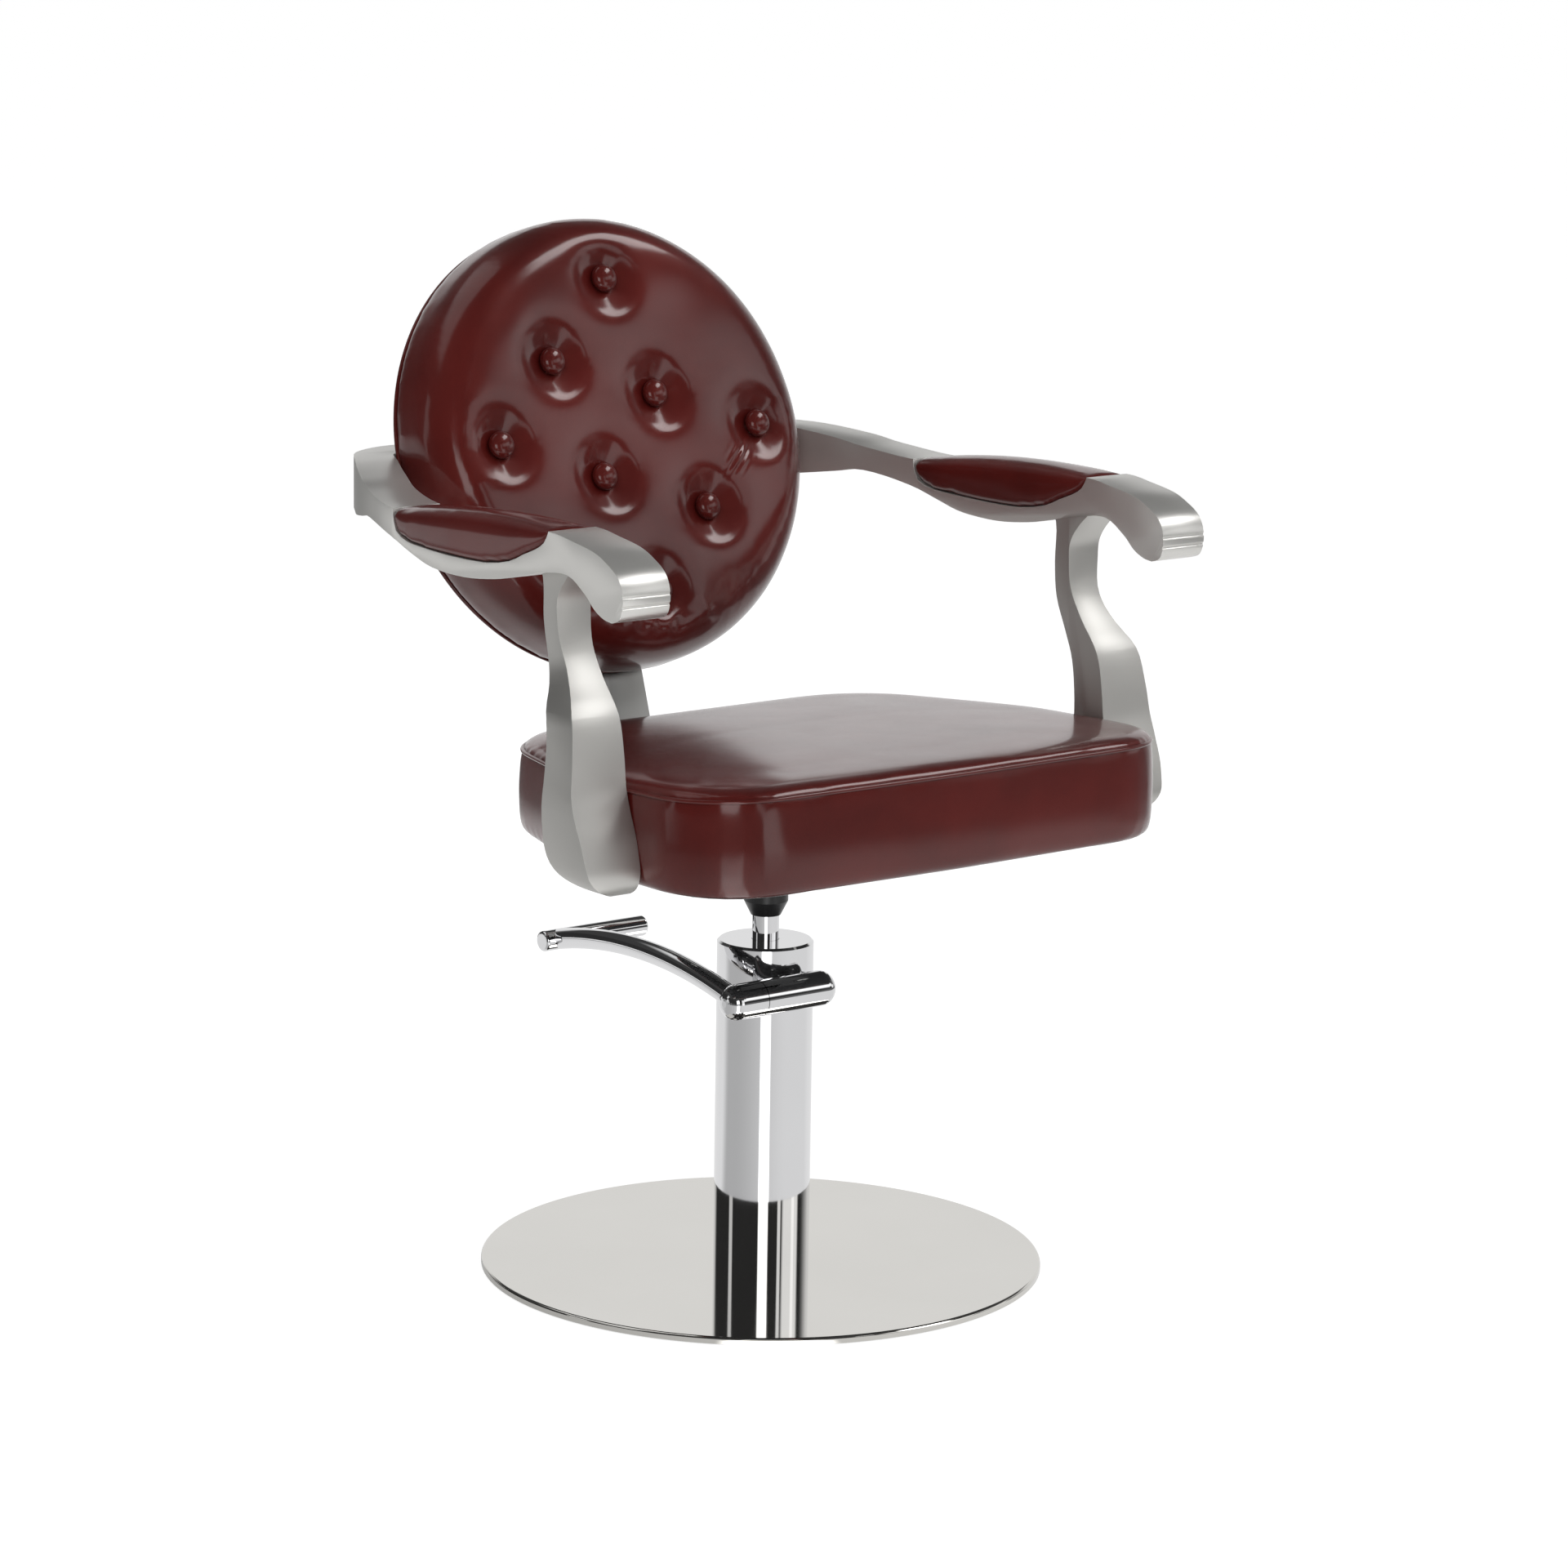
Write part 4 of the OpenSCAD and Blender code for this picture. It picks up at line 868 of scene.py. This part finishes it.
def face_height(x, y):
    """Height of the cover: a crown, pulled down to each button, steeper below and to the right."""
    standing = 1.0
    for button in buttons:
        away = math.hypot(x - button.x, y - button.y)
        firm = 0.5 + 0.5 * math.cos(math.atan2(y - button.y, x - button.x) + math.pi / 4)
        edge = 5 + 9 * firm
        fall = 1 - away / (dimple_radius + firm_extra * firm)
        standing *= 1 - pull * math.log(1 + math.exp(edge * fall)) / edge
    rise = min(1.0, (x * x + y * y) / face_radius**2)
    return face_rise * rise + (face_rise + crown * math.sqrt(1 - rise**2)) * standing


def draw_face(piece):
    """Give the front of the cushion its height, up to the roll at its rim."""
    for vertex in piece.data.vertices:
        flat = lay_flat @ vertex.co
        rim = math.hypot(flat.x, flat.y)
        if flat.z > -0.004 and rim < face_radius:
            share = min(1.0, (face_radius - rim) / edge_width)
            flat.z += (face_height(flat.x, flat.y) - flat.z) * share
            vertex.co = stand_up @ flat


print("face between buttons:", round(face_height(0, 0), 4), "m high")


# %% Folds of the back
fold_height = 0.0002
foot_height = 0.0022
ridge_height = 0.0014
wave_height = 0.0007
ridge_step = 0.008


def crease(flat):
    """Fine ridges half way between the right hand button and the one below it."""
    way = (buttons[6] - buttons[7]).normalized()
    spot = Vector((flat.x, flat.y)) - buttons[7]
    along = spot.dot(way)
    across = spot.x * way.y - spot.y * way.x
    window = math.exp(-(((along - 0.052) / 0.016) ** 2) - (across / 0.009) ** 2)
    return window * math.cos(across * math.tau / ridge_step)


def set_folds(piece):
    """Run short folds out of each button, set the ridges, and crumple the cover near its foot."""
    for vertex in piece.data.vertices:
        flat = lay_flat @ vertex.co
        if flat.z < -0.01:
            continue
        rim = math.hypot(flat.x, flat.y)
        number, away, turn = nearest_button(flat)
        near = math.exp(-((away - 0.018) / 0.012) ** 2)
        fold = math.sin(5 * turn + number) + 0.6 * math.sin(9 * turn + 2.3 * number)
        flat.z += fold_height * near * fold
        foot = math.exp(-((rim - 0.203) / 0.016) ** 2) * max(0.0, -flat.y / rim) ** 4
        flat.z += foot_height * foot * noise.noise(Vector((flat.x * 70, flat.y * 45, 0.5)))
        flat.z += ridge_height * crease(flat)
        flat.z += wave_height * noise.noise(Vector((flat.x * 16, flat.y * 16, 3.5)))
        vertex.co = stand_up @ flat


print("fold helpers ready")

# %% Cushion of the back
back = copy_of("back_cushion", "back_pad")
even_grid(back, 0.005, 3)
draw_face(back)
round_off(back, near_rim, 40)
swell(back, back_hold, 3.0, 0.004)
round_off(back, lambda point: 1.0, 1)
round_off(back, near_rim, 45)
apply(back, "SUBSURF", levels=1, render_levels=1)
set_folds(back)
only(back)
bpy.ops.object.shade_smooth()
wear(back, hide, "seat")
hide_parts("back_cushion")
print("back_pad", len(back.data.polygons), "faces")

# %% [markdown]
# A button is a metal cap covered with the same leather: a dome over a short straight side,
# with the cover gathered underneath. Half a sphere is kept, its rim is drawn straight down,
# and the finished button is copied to its eight places.

# %% One button
button_radius = 0.0145
dome_share = 0.55
bpy.ops.object.select_all(action="DESELECT")
bpy.ops.mesh.primitive_uv_sphere_add(segments=32, ring_count=20, radius=button_radius)
button = bpy.context.object
button.name = "button"
bpy.ops.object.mode_set(mode="EDIT")
bpy.ops.mesh.bisect(plane_co=(0, 0, 0), plane_no=(0, 0, 1), clear_inner=True, use_fill=False)
bpy.ops.mesh.select_all(action="SELECT")
bpy.ops.transform.resize(value=(1, 1, dome_share))
bpy.ops.mesh.select_all(action="DESELECT")
bpy.ops.mesh.select_non_manifold()
for drop, width in ((0.0025, 1.0), (0.0022, 0.94), (0.0028, 0.8)):
    bpy.ops.mesh.extrude_edges_move(TRANSFORM_OT_translate={"value": (0, 0, -drop)})
    bpy.ops.transform.resize(value=(width, width, 1), center_override=(0, 0, 0))
bpy.ops.mesh.fill()
bpy.ops.mesh.select_all(action="SELECT")
bpy.ops.mesh.normals_make_consistent(inside=False)
bpy.ops.object.mode_set(mode="OBJECT")
bpy.ops.object.shade_smooth()
print("button", len(button.data.polygons), "faces")

# %% Eight buttons
button_lift = 0.0100
copies = []
for place in buttons:
    one = bpy.data.objects.new("button", button.data.copy())
    bpy.context.collection.objects.link(one)
    up = face_height(place.x, place.y) + button_lift
    one.data.transform(stand_up @ Matrix.Translation((place.x, place.y, up)))
    copies.append(one)
bpy.data.objects.remove(button)
only(copies[0])
for one in copies:
    one.select_set(True)
bpy.ops.object.join()
tufts = bpy.context.object
tufts.name = "tuft_buttons"
wear(tufts, hide, "seat")
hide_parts("back_buttons")
print("buttons:", len(copies))

# %% [markdown]
# ## Panel behind the back, and the arm pads
# The rear of the back is a board covered with leather over thin wadding, with a welt where it
# meets the cushion. The arm pads are let into the arms, so only their tops can swell.

# %% Rear panel
panel = copy_of("back_panel", "rear_panel")
even_grid(panel, 0.004, 3)
panel_face = -0.0745
ripple = 0.0004
ripples = [(0.9, 31, 17, 0.4), (0.6, -23, 41, 1.9), (0.5, 52, -12, 3.1)]
for vertex in panel.data.vertices:
    flat = lay_flat @ vertex.co
    if flat.z < panel_face:
        wave = sum(size * math.sin(a * flat.x + b * flat.y + c) for size, a, b, c in ripples)
        flat.z += ripple * (wave + 2)
        vertex.co = stand_up @ flat
finish_cushion(panel, "back_panel")

# %% Piping of the back
ring_radius = 0.2375
ring_steps = 240
ring_height = -0.066
ring = [stand_up @ Vector((ring_radius * math.cos(t), ring_radius * math.sin(t), ring_height))
        for t in (math.tau * i / ring_steps for i in range(ring_steps))]
cord_along(ring, 0.0026, "back_piping")

# %% Arm pads
for side in ("left", "right"):
    pad = copy_of("arm_pad_" + side, "armrest_pad_" + side)
    even_grid(pad, 0.0035, 6)
    tilts = {tuple(v.co): v.normal.z for v in pad.data.vertices}
    swell(pad, lambda p: 0.0 if tilts[tuple(p)] > 0.35 else 1.0, 4.0, 0.003)
    finish_cushion(pad, "arm_pad_" + side)

# %% [markdown]
# ## Sizes and the end
# The dressed chair is measured against the solids, because a soft form may only pass them by a
# few millimetres.

# %% Sizes and the end
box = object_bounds()
grown = [round((box[1][i] - box[0][i] - cad_box[1][i] + cad_box[0][i]) * 1000, 1) for i in range(3)]
print("grown by (mm):", grown)
